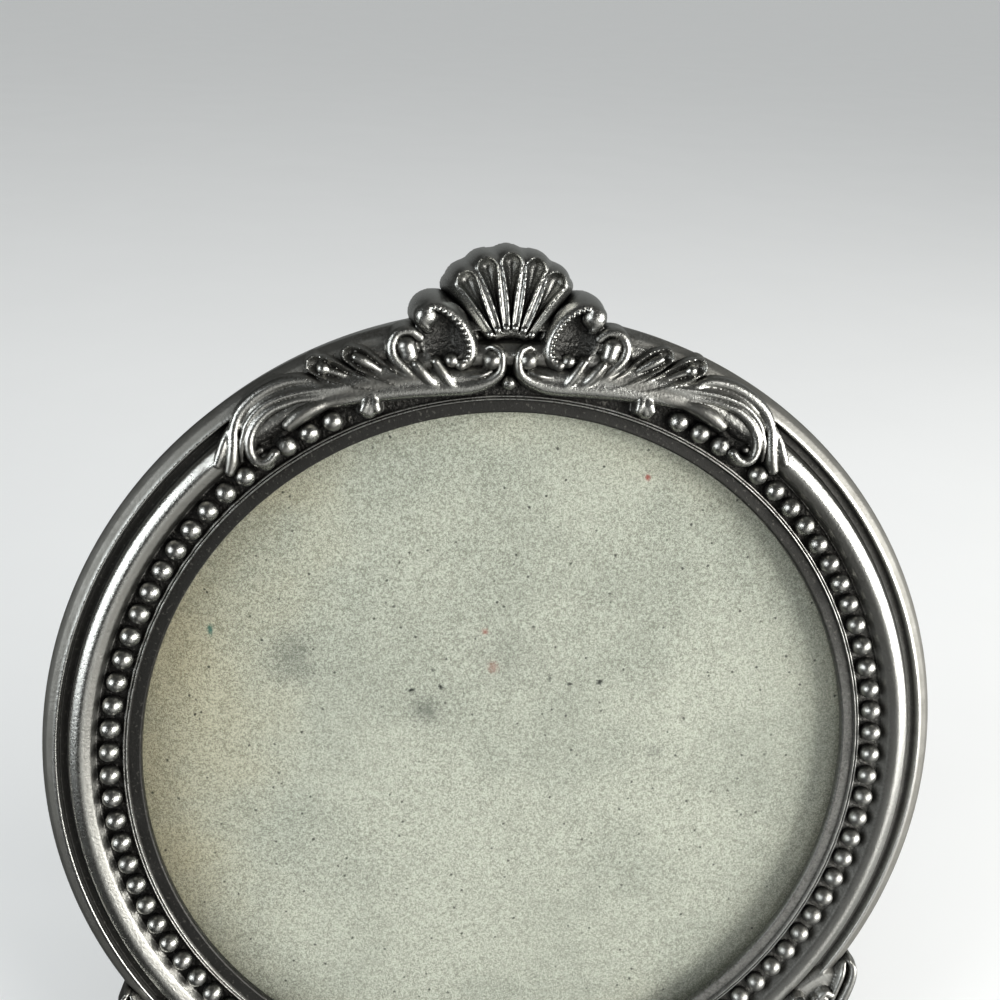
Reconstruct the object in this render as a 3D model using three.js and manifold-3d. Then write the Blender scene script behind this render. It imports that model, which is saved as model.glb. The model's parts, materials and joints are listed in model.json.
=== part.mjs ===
// A round standing picture frame: one ornamented white-metal casting, glazed from behind and
// closed by an easel back that is held by four turn buttons.
// Millimetres. X runs to the right as seen from the front, Y from front to back, Z up.
// Every piece of the frame is drawn upright about the centre of the ring, with Y = 0 in the plane
// of the bead centres, and the whole is then leaned back on its leg.

import * as THREE from 'three';
import { mergeVertices } from 'three/addons/utils/BufferGeometryUtils.js';
import Module from 'manifold-3d';

const wasm = await Module();
wasm.setup();

// How the frame stands, in degrees
const LEAN_ANGLE = 15;
const LEG_OPEN_ANGLE = 27;
const FOOT_REACH = 3.3; // how far the feet carry the ring above the table

// Moulding of the ring, from the sight edge outwards
const OPENING_RADIUS = 44.4;
const LIP_WIDTH = 1.55;
const LIP_THICKNESS = 1.0;
const LIP_SETBACK = 0.5; // face of the lip behind the bead centres
const LIP_ROUND = 0.3;
const RIDGE_WIDTH = 0.5;
const RIDGE_HEIGHT = 0.35; // above the face of the lip
const BEAD_RADIUS = 1.25;
const BEAD_PITCH = 3.02;
const BEAD_MARGIN = 0.3; // bare channel floor on each side of a bead
const CREST_COVER = 19.5; // arc on each side of the top where the crest takes the place of the beads
const CHANNEL_DEPTH = 0.55; // floor behind the bead centres
const OVOLO_WIDTH = 3.5;
const OVOLO_HEIGHT = 1.1; // crown in front of the bead centres
const GROOVE_WIDTH = 0.9;
const GROOVE_DEPTH = 0.35; // floor behind the bead centres
const STEP_WIDTH = 2.25;
const STEP_HEIGHT = 0.55; // in front of the bead centres
const STEP_ROUND = 1.5; // round from the step to the outer wall
const REAR_CHAMFER = 0.5;

// Hollow cast into the back of the ring
const CORE_WALL = 2.1; // metal left on both sides of the hollow
const CORE_DEPTH = 3.0;

// What the ring holds, front to back
const FIT_GAP = 0.3;
const GLASS_OVERLAP = 2.2; // glass behind the lip
const GLASS_THICKNESS = 1.6;
const CARD_THICKNESS = 1.2;
const BOARD_THICKNESS = 2.0;
const FACING_THICKNESS = 0.4;
const FACING_PROUD = 0.6; // back of the facing behind the back of the ring

// Turn buttons and their screws
const BUTTON_ANGLES = [45, 135, 225, 315];
const BUTTON_END_RADIUS = 2.8;
const BUTTON_TIP_RADIUS = 2.0;
const BUTTON_OVERLAP = 2.6; // tip over the edge of the back
const BUTTON_THICKNESS = 0.8;
const BOSS_RADIUS = 3.2;
const SCREW_RADIUS = 0.9;
const SCREW_DEPTH = 4.6; // shank inside the boss
const SCREW_HEAD_RADIUS = 2.1;
const SCREW_HEAD_HEIGHT = 1.0;
const SCREW_SLOT_WIDTH = 0.5;
const SCREW_SLOT_DEPTH = 0.45;

// Leg and its hinge
const HINGE_RISE = 16; // pivot above the centre of the ring
const HINGE_WIDTH = 16;
const HINGE_LEAF_LENGTH = 11;
const HINGE_LEAF_THICKNESS = 0.6;
const KNUCKLE_RADIUS = 1.5;
const KNUCKLE_GAP = 0.4;
const MIDDLE_KNUCKLE_WIDTH = 6;
const PIN_RADIUS = 0.6;
const STOP_WIDTH = 5;
const STOP_LENGTH = 4.2;
const STOP_THICKNESS = 0.8;
const RIVET_RADIUS = 0.9;
const RIVET_HEAD_RADIUS = 1.8;
const RIVET_HEAD_HEIGHT = 0.7;
const RIVET_INSET = 3.5; // from the sides and the end of a leaf
const LEG_THICKNESS = 1.8;
const LEG_TOP_WIDTH = 22;
const LEG_FOOT_WIDTH = 30;

// Ornament: drawn on a grid of one module, as arc length along the crown of the moulding,
// offset outwards from that crown, and height in front of the bead centres
const ORNAMENT_MODULE = 1.0;
const RELIEF_SEAT = 0.8; // plates behind the ornament start this far behind the bead centres
const CREST_SETBACK = 1.3; // back of the crest in front of the back of the ring
const SHELL_FLUTES = 5;
const SHELL_SPREAD = 13.5; // degrees from flute to flute
const SHELL_ROOT = -1.1; // where the flutes would meet
const SHELL_RADIUS = 13.8; // from the root to the top of the rim
const SHELL_DROP = 0.32; // loss of radius, times the square of the flute's place from the middle
const SHELL_LOBE_RADIUS = 2.15;
const SHELL_HEIGHT = 0.9;
const FLUTE_RIM = 0.75; // rim left round the top of a flute
const FLUTE_PLACES = [0.3, 0.65, 1]; // along a flute, as shares of its reach
const FLUTE_TAPER = [0.33, 0.7, 1]; // width there, as shares of its width at the top
const SHELL_BASE_HALF_WIDTH = 2.9;
const SHELL_BASE_RISE = 1.9;
const SHELL_BASE_SIZE = 1.3;
const FOOT_ANGLE = 142; // from the top of the ring, where a foot grows out of it
const FOOT_EMBED = 8; // half the arc over which a foot runs into the ring
const BAR_TIP = 0.5; // how far the end of a scroll or leaf stands out, as a share of its half width

// Fineness of the facets
const RING_SEGMENTS = 50;
const DISC_SEGMENTS = 50;
const SMALL_SEGMENTS = 12;
const OVOLO_STEPS = 5;
const ROUND_STEPS = 2;
const BEAD_SEGMENTS = 5;
const BEAD_RINGS = 3;
const BALL_SEGMENTS = 5;
const BALL_RINGS = 4;
const BAR_SIDES = 4;
const BAR_RINGS_PER_POINT = 1;
const FOOT_EDGE_STEPS = 2;
const MERGE_DISTANCE = 1e-4; // points closer than this are one point

// Radii of the moulding
const ridgeRadius = OPENING_RADIUS + LIP_WIDTH;
const channelInnerRadius = ridgeRadius + RIDGE_WIDTH;
const beadCircleRadius = channelInnerRadius + BEAD_MARGIN + BEAD_RADIUS;
const channelOuterRadius = beadCircleRadius + BEAD_RADIUS + BEAD_MARGIN;
const ornamentRadius = channelOuterRadius + OVOLO_WIDTH / 2;
const grooveRadius = channelOuterRadius + OVOLO_WIDTH;
const stepRadius = grooveRadius + GROOVE_WIDTH;
const outerRadius = stepRadius + STEP_WIDTH;
const glassRadius = OPENING_RADIUS + GLASS_OVERLAP;
const rebateRadius = glassRadius + FIT_GAP;

// Depths, from front to back
const lipFace = LIP_SETBACK;
const rebateShoulder = lipFace + LIP_THICKNESS;
const glassFront = rebateShoulder + FIT_GAP;
const cardFront = glassFront + GLASS_THICKNESS + FIT_GAP;
const boardFront = cardFront + CARD_THICKNESS + FIT_GAP;
const facingFront = boardFront + BOARD_THICKNESS + FIT_GAP;
const facingBack = facingFront + FACING_THICKNESS;
const ringBack = facingBack - FACING_PROUD;
const crestBack = ringBack - CREST_SETBACK;
const buttonFront = facingBack + FIT_GAP;
const screwHeadFront = buttonFront + BUTTON_THICKNESS + FIT_GAP;
const pivotDepth = facingBack + FIT_GAP + KNUCKLE_RADIUS;

// Places that several pieces share
const lean = THREE.MathUtils.degToRad(LEAN_ANGLE);
const legOpen = THREE.MathUtils.degToRad(LEG_OPEN_ANGLE);
const floorDrop = outerRadius + FOOT_REACH; // along the lean, at half the depth of the crest
const footDepth = crestBack / 2;
const centreHeight = floorDrop * Math.cos(lean) + footDepth * Math.sin(lean);
const pivotHeight = centreHeight + HINGE_RISE * Math.cos(lean) - pivotDepth * Math.sin(lean);
const legLength = pivotHeight / Math.cos(legOpen - lean);
const coreInnerRadius = rebateRadius + CORE_WALL;
const coreOuterRadius = outerRadius - CORE_WALL;
const buttonCircleRadius = (coreInnerRadius + coreOuterRadius) / 2;
const rivetSpacing = HINGE_WIDTH - 2 * RIVET_INSET;
const rivetOffset = HINGE_LEAF_LENGTH - RIVET_INSET; // from the pivot along each leaf
const upperRivetHeight = HINGE_RISE + rivetOffset;
const leafBack = HINGE_LEAF_THICKNESS - KNUCKLE_RADIUS; // from the pivot
const legFront = leafBack + FIT_GAP;
const legFacingFront = legFront + LEG_THICKNESS + FIT_GAP;
const legRivetHead = legFacingFront + FACING_THICKNESS + FIT_GAP;
const holeRadius = (shaft) => shaft + FIT_GAP;

// Finishes
const whiteMetal = new THREE.MeshStandardMaterial({ color: 0x5d5d5b, roughness: 0.35, metalness: 1 });
const clearGlass = new THREE.MeshStandardMaterial({ color: 0xe8efe9, roughness: 0.05 });
clearGlass.transparent = true;
clearGlass.opacity = 0.3;
const greyCard = new THREE.MeshStandardMaterial({ color: 0xa8a597, roughness: 0.95 });
const brownBoard = new THREE.MeshStandardMaterial({ color: 0x7c6a52, roughness: 0.9 });
const blackFlock = new THREE.MeshStandardMaterial({ color: 0x18181b, roughness: 1 });
const platedSteel = new THREE.MeshStandardMaterial({ color: 0xa7a295, roughness: 0.3, metalness: 1 });
const brass = new THREE.MeshStandardMaterial({ color: 0xb08d4a, roughness: 0.3, metalness: 1 });

// From a geometry to a solid that can be joined and cut, and back
function solid(geometry) {
  const bare = geometry.clone();
  bare.deleteAttribute('normal');
  bare.deleteAttribute('uv');
  const merged = mergeVertices(bare, MERGE_DISTANCE);
  const vertProperties = new Float32Array(merged.attributes.position.array);
  const triVerts = new Uint32Array(merged.index.array);
  return new wasm.Manifold(new wasm.Mesh({ numProp: 3, vertProperties, triVerts }));
}

function geometryOf(body) {
  const { vertProperties, triVerts } = body.getMesh();
  const geometry = new THREE.BufferGeometry();
  geometry.setAttribute('position', new THREE.BufferAttribute(new Float32Array(vertProperties), 3));
  geometry.setIndex(new THREE.BufferAttribute(new Uint32Array(triVerts), 1));
  geometry.computeVertexNormals();
  return geometry;
}

function joined(bodies) {
  return bodies.reduce((whole, body) => whole.add(body));
}

function cut(body, tools) {
  return tools.reduce((left, tool) => left.subtract(tool), body);
}

// A disc or shaft whose axis runs from front to back
function disc(radius, front, back, segments) {
  const geometry = new THREE.CylinderGeometry(radius, radius, back - front, segments);
  return geometry.translate(0, (front + back) / 2, 0);
}

// A box given by its lowest and highest corners
function block(low, high) {
  const size = high.map((value, axis) => value - low[axis]);
  const middle = high.map((value, axis) => (value + low[axis]) / 2);
  return new THREE.BoxGeometry(...size).translate(...middle);
}

// A flat plate with its outline in X and Z
function plate(outline, front, back) {
  const options = { depth: back - front, bevelEnabled: false, curveSegments: SMALL_SEGMENTS / 2 };
  return new THREE.ExtrudeGeometry(outline, options).rotateX(Math.PI / 2).translate(0, back, 0);
}

function outlineOf(points) {
  return new THREE.Shape(points.map(([x, z]) => new THREE.Vector2(x, z)));
}

// A tube along X, as a ring of the hinge
function knuckle(low, high) {
  const ring = new THREE.Shape().absarc(0, 0, KNUCKLE_RADIUS, 0, 2 * Math.PI);
  ring.holes.push(new THREE.Path().absarc(0, 0, holeRadius(PIN_RADIUS), 0, 2 * Math.PI));
  const options = { depth: high - low, bevelEnabled: false, curveSegments: SMALL_SEGMENTS };
  return new THREE.ExtrudeGeometry(ring, options).rotateY(Math.PI / 2).translate(low, 0, 0);
}

// Ring moulding

function mouldingProfile() {
  const points = [];
  const add = (radius, depth) => points.push(new THREE.Vector2(radius, depth));
  add(OPENING_RADIUS, rebateShoulder);
  add(OPENING_RADIUS, lipFace + LIP_ROUND);
  add(OPENING_RADIUS + LIP_ROUND, lipFace);
  add(ridgeRadius, lipFace);
  add(ridgeRadius + RIDGE_WIDTH / 2, lipFace - RIDGE_HEIGHT);
  add(channelInnerRadius, CHANNEL_DEPTH);
  add(channelOuterRadius, CHANNEL_DEPTH);
  for (let i = 0; i <= OVOLO_STEPS; i += 1) {
    const turn = (Math.PI * i) / OVOLO_STEPS;
    add(ornamentRadius - (OVOLO_WIDTH / 2) * Math.cos(turn), -OVOLO_HEIGHT * Math.sin(turn));
  }
  add(grooveRadius, GROOVE_DEPTH);
  add(stepRadius, GROOVE_DEPTH);
  for (let i = 0; i <= ROUND_STEPS; i += 1) {
    const turn = (Math.PI / 2) * (i / ROUND_STEPS);
    const radius = outerRadius - STEP_ROUND * (1 - Math.sin(turn));
    add(radius, STEP_ROUND * (1 - Math.cos(turn)) - STEP_HEIGHT);
  }
  add(outerRadius, ringBack - REAR_CHAMFER);
  add(outerRadius - REAR_CHAMFER, ringBack);
  add(coreOuterRadius, ringBack);
  add(coreOuterRadius, ringBack - CORE_DEPTH);
  add(coreInnerRadius, ringBack - CORE_DEPTH);
  add(coreInnerRadius, ringBack);
  add(rebateRadius, ringBack);
  add(rebateRadius, rebateShoulder);
  points.push(points[0].clone());
  return points;
}

function ringMoulding() {
  return solid(new THREE.LatheGeometry(mouldingProfile(), RING_SEGMENTS, -Math.PI / RING_SEGMENTS));
}

function beads() {
  const count = Math.round((2 * Math.PI * beadCircleRadius) / BEAD_PITCH);
  const bodies = [];
  for (let i = 0; i < count; i += 1) {
    const arc = Math.min(i, count - i) * BEAD_PITCH;
    if (arc === 0 || arc > CREST_COVER) {
      const bead = new THREE.SphereGeometry(BEAD_RADIUS, BEAD_SEGMENTS, BEAD_RINGS, Math.PI / 2);
      bead.translate(0, 0, beadCircleRadius).rotateY((2 * Math.PI * i) / count);
      bodies.push(solid(bead));
    }
  }
  return joined(bodies);
}

// Ornament

const FRONT_TO_BACK = new THREE.Vector3(0, 1, 0);
const SIDES = [1, -1]; // right and left

// A place on the ring: arc length from a given angle, offset outwards, height to the front.
// The side is 1 for the right half and -1 for the left half, which mirrors it.
function onRing([arc, offset, height], side, fromAngle = 0) {
  const angle = fromAngle + (arc * ORNAMENT_MODULE) / ornamentRadius;
  const radius = ornamentRadius + offset * ORNAMENT_MODULE;
  const x = side * radius * Math.sin(angle);
  return new THREE.Vector3(x, -height * ORNAMENT_MODULE, radius * Math.cos(angle));
}

function valueAlong(values, t) {
  const place = t * (values.length - 1);
  const index = Math.min(Math.floor(place), values.length - 2);
  return THREE.MathUtils.lerp(values[index], values[index + 1], place - index);
}

// A tapering round bar along a smooth line, blunt at both ends
function bar(points, halfWidths) {
  const line = new THREE.CatmullRomCurve3(points);
  const rings = BAR_RINGS_PER_POINT * (points.length - 1);
  const positions = [];
  const triangles = [];
  for (let i = 0; i <= rings; i += 1) {
    const centre = line.getPoint(i / rings);
    const across = line.getTangent(i / rings).cross(FRONT_TO_BACK).normalize();
    const halfWidth = valueAlong(halfWidths, i / rings) * ORNAMENT_MODULE;
    for (let k = 0; k < BAR_SIDES; k += 1) {
      const turn = (2 * Math.PI * k) / BAR_SIDES;
      const point = centre.clone();
      point.addScaledVector(across, halfWidth * Math.cos(turn));
      point.addScaledVector(FRONT_TO_BACK, halfWidth * Math.sin(turn));
      positions.push(...point);
    }
  }
  for (let i = 0; i < rings; i += 1) {
    for (let k = 0; k < BAR_SIDES; k += 1) {
      const next = (k + 1) % BAR_SIDES;
      const [a, b] = [i * BAR_SIDES + k, i * BAR_SIDES + next];
      const [c, d] = [a + BAR_SIDES, b + BAR_SIDES];
      triangles.push(a, d, b, a, c, d);
    }
  }
  const ends = [[0, 0, -1], [1, rings, 1]];
  for (const [t, ring, side] of ends) {
    const reach = valueAlong(halfWidths, t) * ORNAMENT_MODULE * side;
    const tip = line.getPoint(t).addScaledVector(line.getTangent(t), reach * BAR_TIP);
    const tipIndex = positions.length / 3;
    positions.push(...tip);
    for (let k = 0; k < BAR_SIDES; k += 1) {
      const [here, next] = [ring * BAR_SIDES + k, ring * BAR_SIDES + ((k + 1) % BAR_SIDES)];
      triangles.push(tipIndex, ...(side < 0 ? [here, next] : [next, here]));
    }
  }
  const geometry = new THREE.BufferGeometry();
  geometry.setAttribute('position', new THREE.Float32BufferAttribute(positions, 3));
  geometry.setIndex(triangles);
  return solid(geometry);
}

function ball(centre, radius) {
  const size = radius * ORNAMENT_MODULE;
  const sphere = new THREE.SphereGeometry(size, BALL_SEGMENTS, BALL_RINGS, Math.PI / 2);
  return solid(sphere.translate(...centre));
}

// The shell: flat petals with round tops, each hollowed by a tapering flute
function shell() {
  const rootHeight = ornamentRadius + SHELL_ROOT * ORNAMENT_MODULE;
  const front = -SHELL_HEIGHT * ORNAMENT_MODULE;
  const petals = [];
  const flutes = [];
  const middle = (SHELL_FLUTES - 1) / 2;
  for (let i = 0; i < SHELL_FLUTES; i += 1) {
    const place = i - middle;
    const angle = THREE.MathUtils.degToRad(place * SHELL_SPREAD);
    const lobe = SHELL_LOBE_RADIUS * ORNAMENT_MODULE;
    const reach = (SHELL_RADIUS - SHELL_DROP * place * place) * ORNAMENT_MODULE - lobe;
    const petal = new THREE.Shape().moveTo(0, 0).lineTo(lobe, reach);
    petal.absarc(0, reach, lobe, 0, Math.PI, false).lineTo(0, 0);
    const seated = plate(petal, front, crestBack).rotateY(angle).translate(0, 0, rootHeight);
    petals.push(solid(seated));
    const along = (part) => {
      const x = reach * part * Math.sin(angle);
      const z = rootHeight + reach * part * Math.cos(angle);
      return new THREE.Vector3(x, front, z);
    };
    const fluteWidth = SHELL_LOBE_RADIUS - FLUTE_RIM;
    flutes.push(bar(FLUTE_PLACES.map(along), FLUTE_TAPER.map((share) => share * fluteWidth)));
  }
  const fan = cut(joined(petals), flutes);
  const baseHeight = ornamentRadius + SHELL_BASE_RISE * ORNAMENT_MODULE;
  const baseHalf = (SHELL_BASE_SIZE * ORNAMENT_MODULE) / 2;
  const baseWidth = SHELL_BASE_HALF_WIDTH * ORNAMENT_MODULE;
  const low = [-baseWidth, front - baseHalf / 2, baseHeight - baseHalf];
  const high = [baseWidth, crestBack, baseHeight + baseHalf];
  return fan.add(solid(block(low, high)));
}

// Scrolls and leaves of one half of the crest: points on the ring, and half widths along them
const CREST_BARS = [
  // scroll beside the shell, from its lower curl over its back to its upper curl
  {
    points: [
      [6.8, -0.6, 0.4], [5.3, -1.3, 0.5], [4.2, 0.8, 0.7], [4.5, 3.1, 0.8],
      [5.7, 5.2, 0.7], [7.5, 6.3, 0.5], [9.1, 5.3, 0.3], [8.9, 3.7, 0.2],
    ],
    halfWidths: [0.8, 0.7, 0.8, 0.95, 1.2, 1.4, 1.3, 0.9],
  },
  // stem, from the volute at the middle out to the curl at the end of the spray
  {
    points: [
      [2.0, -0.5, 0.4], [0.8, -1.2, 0.3], [1.2, -2.7, 0.1], [3.1, -3.6, 0], [6.2, -3.8, 0],
      [10.3, -3.4, 0], [17.9, -2.1, 0.3], [24.7, 0.4, 0.6], [28.9, 1.2, 0.7],
      [32.3, 0.3, 0.6], [33.6, -1.2, 0.4], [32.6, -2.9, 0.3], [30.7, -3.1, 0.4],
    ],
    halfWidths: [0.6, 0.6, 0.7, 0.8, 0.9, 0.9, 0.9, 0.9, 0.9, 0.8, 0.7, 0.6, 0.6],
  },
  // finger leaves
  { points: [[6.9, -3.4, 0.2], [7.6, -1.9, 0.6], [8.3, -0.5, 0.5]], halfWidths: [0.6, 0.8, 0.6] },
  { points: [[9.0, -3.1, 0.2], [9.6, -1.6, 0.6], [10.2, -0.2, 0.5]], halfWidths: [0.6, 0.8, 0.6] },
  // leaf that curls over to a ball
  {
    points: [[10.3, -3.2, 0], [12.4, -1.0, 0.3], [13.6, 1.2, 0.4], [12.8, 2.7, 0.3]],
    halfWidths: [0.6, 0.7, 0.7, 0.6],
  },
  // long lobes on the moulding
  { points: [[11.3, -3.0, 0], [14.7, -0.6, 0.5], [17.5, 1.7, 0.6]], halfWidths: [0.6, 0.8, 1.1] },
  { points: [[12.8, -2.9, 0], [17.3, -0.4, 0.5], [21.0, 2.2, 0.6]], halfWidths: [0.6, 0.7, 1.0] },
  { points: [[19.3, -1.4, 0.2], [23.5, 1.8, 0.5], [27.3, 2.6, 0.2]], halfWidths: [0.6, 0.7, 0.6] },
  // leaf over the beads and leaf inside the curl
  { points: [[13.5, -3.0, 0.3], [15.6, -3.6, 0.6], [17.8, -4.0, 0.4]], halfWidths: [0.8, 1.2, 0.8] },
  { points: [[19.3, -1.6, 0.2], [22.8, -1.6, 0.6], [27.7, -1.8, 0.4]], halfWidths: [0.7, 0.9, 0.6] },
  // tail of the spray along the beads
  { points: [[32.9, -0.9, 0.3], [34.6, -1.7, 0.4], [36.4, -2.2, 0.3]], halfWidths: [0.7, 0.7, 0.4] },
];

const CREST_BALLS = [
  { centre: [6.8, -0.5, 0.6], radius: 1.1 },
  { centre: [7.9, 4.3, 0.4], radius: 1.3 },
  { centre: [2.1, -0.6, 0.6], radius: 1.25 },
  { centre: [12.1, 1.7, 0.5], radius: 1.15 },
  { centre: [30.5, -3.0, 0.5], radius: 0.9 },
];

// Plate behind the scroll beside the shell
const SCROLL_PLATE_CENTRE = [7.2, 3.6, 0];
const SCROLL_PLATE_RADIUS = 4.2;

function crestHalf(side) {
  const place = (point) => onRing(point, side);
  const pieces = CREST_BARS.map(({ points, halfWidths }) => bar(points.map(place), halfWidths));
  for (const { centre, radius } of CREST_BALLS) {
    pieces.push(ball(place(centre), radius));
  }
  const { x, z } = place(SCROLL_PLATE_CENTRE);
  const backing = disc(SCROLL_PLATE_RADIUS * ORNAMENT_MODULE, RELIEF_SEAT, crestBack, SMALL_SEGMENTS);
  pieces.push(solid(backing.translate(x, 0, z)));
  return joined(pieces);
}

// A foot: an acanthus scroll that leaves the ring, swells outwards and stands on its toe.
// Its upper points lie on the ring, its lower ones are measured from the table line.
const footAngle = THREE.MathUtils.degToRad(FOOT_ANGLE);
const footCentre = outerRadius * Math.sin(footAngle);

function onTable([across, rise, height], side) {
  const x = side * (footCentre + across * ORNAMENT_MODULE);
  return new THREE.Vector3(x, -height * ORNAMENT_MODULE, rise * ORNAMENT_MODULE - floorDrop);
}

// Outer and inner edges of the plate behind the foot, each from the ring down past the table
const FOOT_OUTER_EDGE = {
  ring: [[-18.4, 3.6, 0], [-16.6, 6.0, 0], [-13.4, 8.6, 0]],
  table: [[9.4, 15.6, 0], [10.2, 10.4, 0], [12.4, 5.4, 0], [10.6, -2, 0]],
};
const FOOT_INNER_EDGE = {
  ring: [[11.0, 3.0, 0]],
  table: [[-6.4, 9.2, 0], [-1.4, 8.2, 0], [2.6, 4.8, 0], [4.6, -2, 0]],
};
const FOOT_BARS = [
  // scroll down the outside of the foot to the volute of its toe
  {
    ring: [[-17.6, 3.8, 0.2], [-13.8, 7.0, 0.5]],
    table: [[7.8, 16.0, 0.6], [8.4, 10.6, 0.6], [10.6, 6.2, 0.6], [9.6, 3.0, 0.5], [6.8, 3.0, 0.5]],
    halfWidths: [0.7, 1.2, 1.3, 1.3, 1.3, 1.1, 0.9],
  },
  // leaves that fan back over the moulding
  { ring: [[-7.4, 6.6, 0.5], [-11.4, 5.0, 0.7], [-14.6, 3.6, 0.5]], table: [], halfWidths: [0.9, 1.0, 0.7] },
  { ring: [[-4.0, 5.6, 0.5], [-7.6, 3.0, 0.7], [-10.8, 1.4, 0.9]], table: [], halfWidths: [0.9, 1.0, 0.7] },
  { ring: [[-0.6, 5.2, 0.4], [-2.8, 2.0, 0.7], [-5.2, -0.2, 1.0]], table: [], halfWidths: [0.9, 1.0, 0.7] },
  // scroll from the ring along the inside of the foot to the toe
  {
    ring: [[10.0, 2.4, 0.3], [7.0, 4.6, 0.4]],
    table: [[-1.4, 9.8, 0.5], [2.8, 7.4, 0.5]],
    halfWidths: [0.7, 0.9, 1.0, 0.9],
  },
];
const FOOT_BALLS = [
  { ring: [[-14.8, 3.5, 0.6]], table: [], radius: 1.0 },
  { ring: [[-11.0, 1.3, 0.9]], table: [], radius: 0.9 },
  { ring: [[10.4, 1.9, 0.5]], table: [], radius: 1.1 },
  { ring: [], table: [[7.4, 5.0, 0.7]], radius: 1.7 },
];

function foot(side) {
  const onFoot = (point) => onRing(point, side, footAngle);
  const places = ({ ring, table }) => [...ring.map(onFoot), ...table.map((point) => onTable(point, side))];
  const flat = ({ x, z }) => new THREE.Vector2(x, z);
  const edge = (ends) => {
    const points = places(ends).map(flat);
    return new THREE.SplineCurve(points).getPoints(FOOT_EDGE_STEPS * (points.length - 1));
  };
  const inRing = [FOOT_EMBED, -FOOT_EMBED].map((arc) => flat(onFoot([arc, 0, 0])));
  const outline = new THREE.Shape([...edge(FOOT_OUTER_EDGE), ...edge(FOOT_INNER_EDGE).reverse(), ...inRing]);
  const pieces = [solid(plate(outline, RELIEF_SEAT, crestBack))];
  for (const scroll of FOOT_BARS) {
    pieces.push(bar(places(scroll), scroll.halfWidths));
  }
  for (const curl of FOOT_BALLS) {
    pieces.push(ball(places(curl)[0], curl.radius));
  }
  return joined(pieces);
}

// Everything below the table, seen from the leaning frame
function belowTable() {
  const reach = 2 * outerRadius;
  const ground = block([-reach, -reach, -reach], [reach, reach, -centreHeight]);
  return solid(ground.rotateX(lean));
}

function buttonPlace(angle) {
  const turn = THREE.MathUtils.degToRad(angle);
  return new THREE.Vector3(buttonCircleRadius * Math.sin(turn), 0, buttonCircleRadius * Math.cos(turn));
}

function frameCasting() {
  const bosses = BUTTON_ANGLES.map((angle) => {
    const boss = disc(BOSS_RADIUS, ringBack - CORE_DEPTH - FIT_GAP, buttonFront - FIT_GAP, SMALL_SEGMENTS);
    return solid(boss.translate(...buttonPlace(angle)));
  });
  const holes = BUTTON_ANGLES.map((angle) => {
    const bottom = buttonFront - SCREW_DEPTH - 2 * FIT_GAP;
    const hole = disc(holeRadius(SCREW_RADIUS), bottom, buttonFront, SMALL_SEGMENTS);
    return solid(hole.translate(...buttonPlace(angle)));
  });
  const ornament = [beads(), shell(), ...SIDES.map(crestHalf), ...SIDES.map(foot)];
  return cut(joined([ringMoulding(), ...bosses, ...ornament]), [...holes, belowTable()]);
}

// Glazing and back

function rivetPlaces(z) {
  return SIDES.map((side) => [(side * rivetSpacing) / 2, z]);
}

function rivetHoles(z, front, back) {
  return rivetPlaces(z).map(([x, height]) => {
    const hole = disc(holeRadius(RIVET_RADIUS), front, back, SMALL_SEGMENTS);
    return solid(hole.translate(x, 0, height));
  });
}

function backDisc(front, thickness) {
  const whole = solid(disc(glassRadius, front, front + thickness, DISC_SEGMENTS));
  return cut(whole, rivetHoles(upperRivetHeight, front - FIT_GAP, front + thickness + FIT_GAP));
}

// Hinge: drawn about its pin, with the leaves lying against the back

function alongPin(radius, reach) {
  return disc(radius, -reach, reach, SMALL_SEGMENTS).rotateZ(Math.PI / 2);
}

function pinBore() {
  return solid(alongPin(holeRadius(PIN_RADIUS), HINGE_WIDTH));
}

function leaf(direction, ears) {
  const front = -KNUCKLE_RADIUS;
  const neck = KNUCKLE_RADIUS + KNUCKLE_GAP;
  const span = (x0, x1, near, far) => {
    const [low, high] = [near * direction, far * direction].sort((p, q) => p - q);
    return solid(block([x0, front, low], [x1, leafBack, high]));
  };
  const pieces = [span(-HINGE_WIDTH / 2, HINGE_WIDTH / 2, neck, HINGE_LEAF_LENGTH)];
  for (const [x0, x1] of ears) {
    pieces.push(span(x0, x1, 0, neck + FIT_GAP), solid(knuckle(x0, x1)));
  }
  const holes = rivetHoles(rivetOffset * direction, front - FIT_GAP, leafBack + FIT_GAP);
  return cut(joined(pieces), [pinBore(), ...holes]);
}

function upperLeaf() {
  const inner = MIDDLE_KNUCKLE_WIDTH / 2 + KNUCKLE_GAP;
  return leaf(1, [[-HINGE_WIDTH / 2, -inner], [inner, HINGE_WIDTH / 2]]);
}

// The lower leaf carries a stop that meets the upper leaf when the leg is fully open
function lowerLeaf() {
  const half = MIDDLE_KNUCKLE_WIDTH / 2;
  const stopFront = leafBack + FIT_GAP;
  const low = [-STOP_WIDTH / 2, stopFront, 0];
  const high = [STOP_WIDTH / 2, stopFront + STOP_THICKNESS, STOP_LENGTH];
  const stop = solid(block(low, high)).subtract(pinBore());
  return leaf(-1, [[-half, half]]).add(solid(geometryOf(stop).rotateX(-legOpen)));
}

function hingePin() {
  return alongPin(PIN_RADIUS, HINGE_WIDTH / 2);
}

// A rivet whose domed head is at the back and whose shank runs forwards
function rivet(headFront, shankFront) {
  const profile = [
    [0, shankFront],
    [RIVET_RADIUS, shankFront],
    [RIVET_RADIUS, headFront],
    [RIVET_HEAD_RADIUS, headFront],
    [RIVET_HEAD_RADIUS, headFront + RIVET_HEAD_HEIGHT / 2],
    [RIVET_HEAD_RADIUS / 2, headFront + RIVET_HEAD_HEIGHT],
    [0, headFront + RIVET_HEAD_HEIGHT],
  ];
  return new THREE.LatheGeometry(profile.map(([r, y]) => new THREE.Vector2(r, y)), SMALL_SEGMENTS);
}

// Leg: drawn about the hinge pin, hanging down against the back

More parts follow.
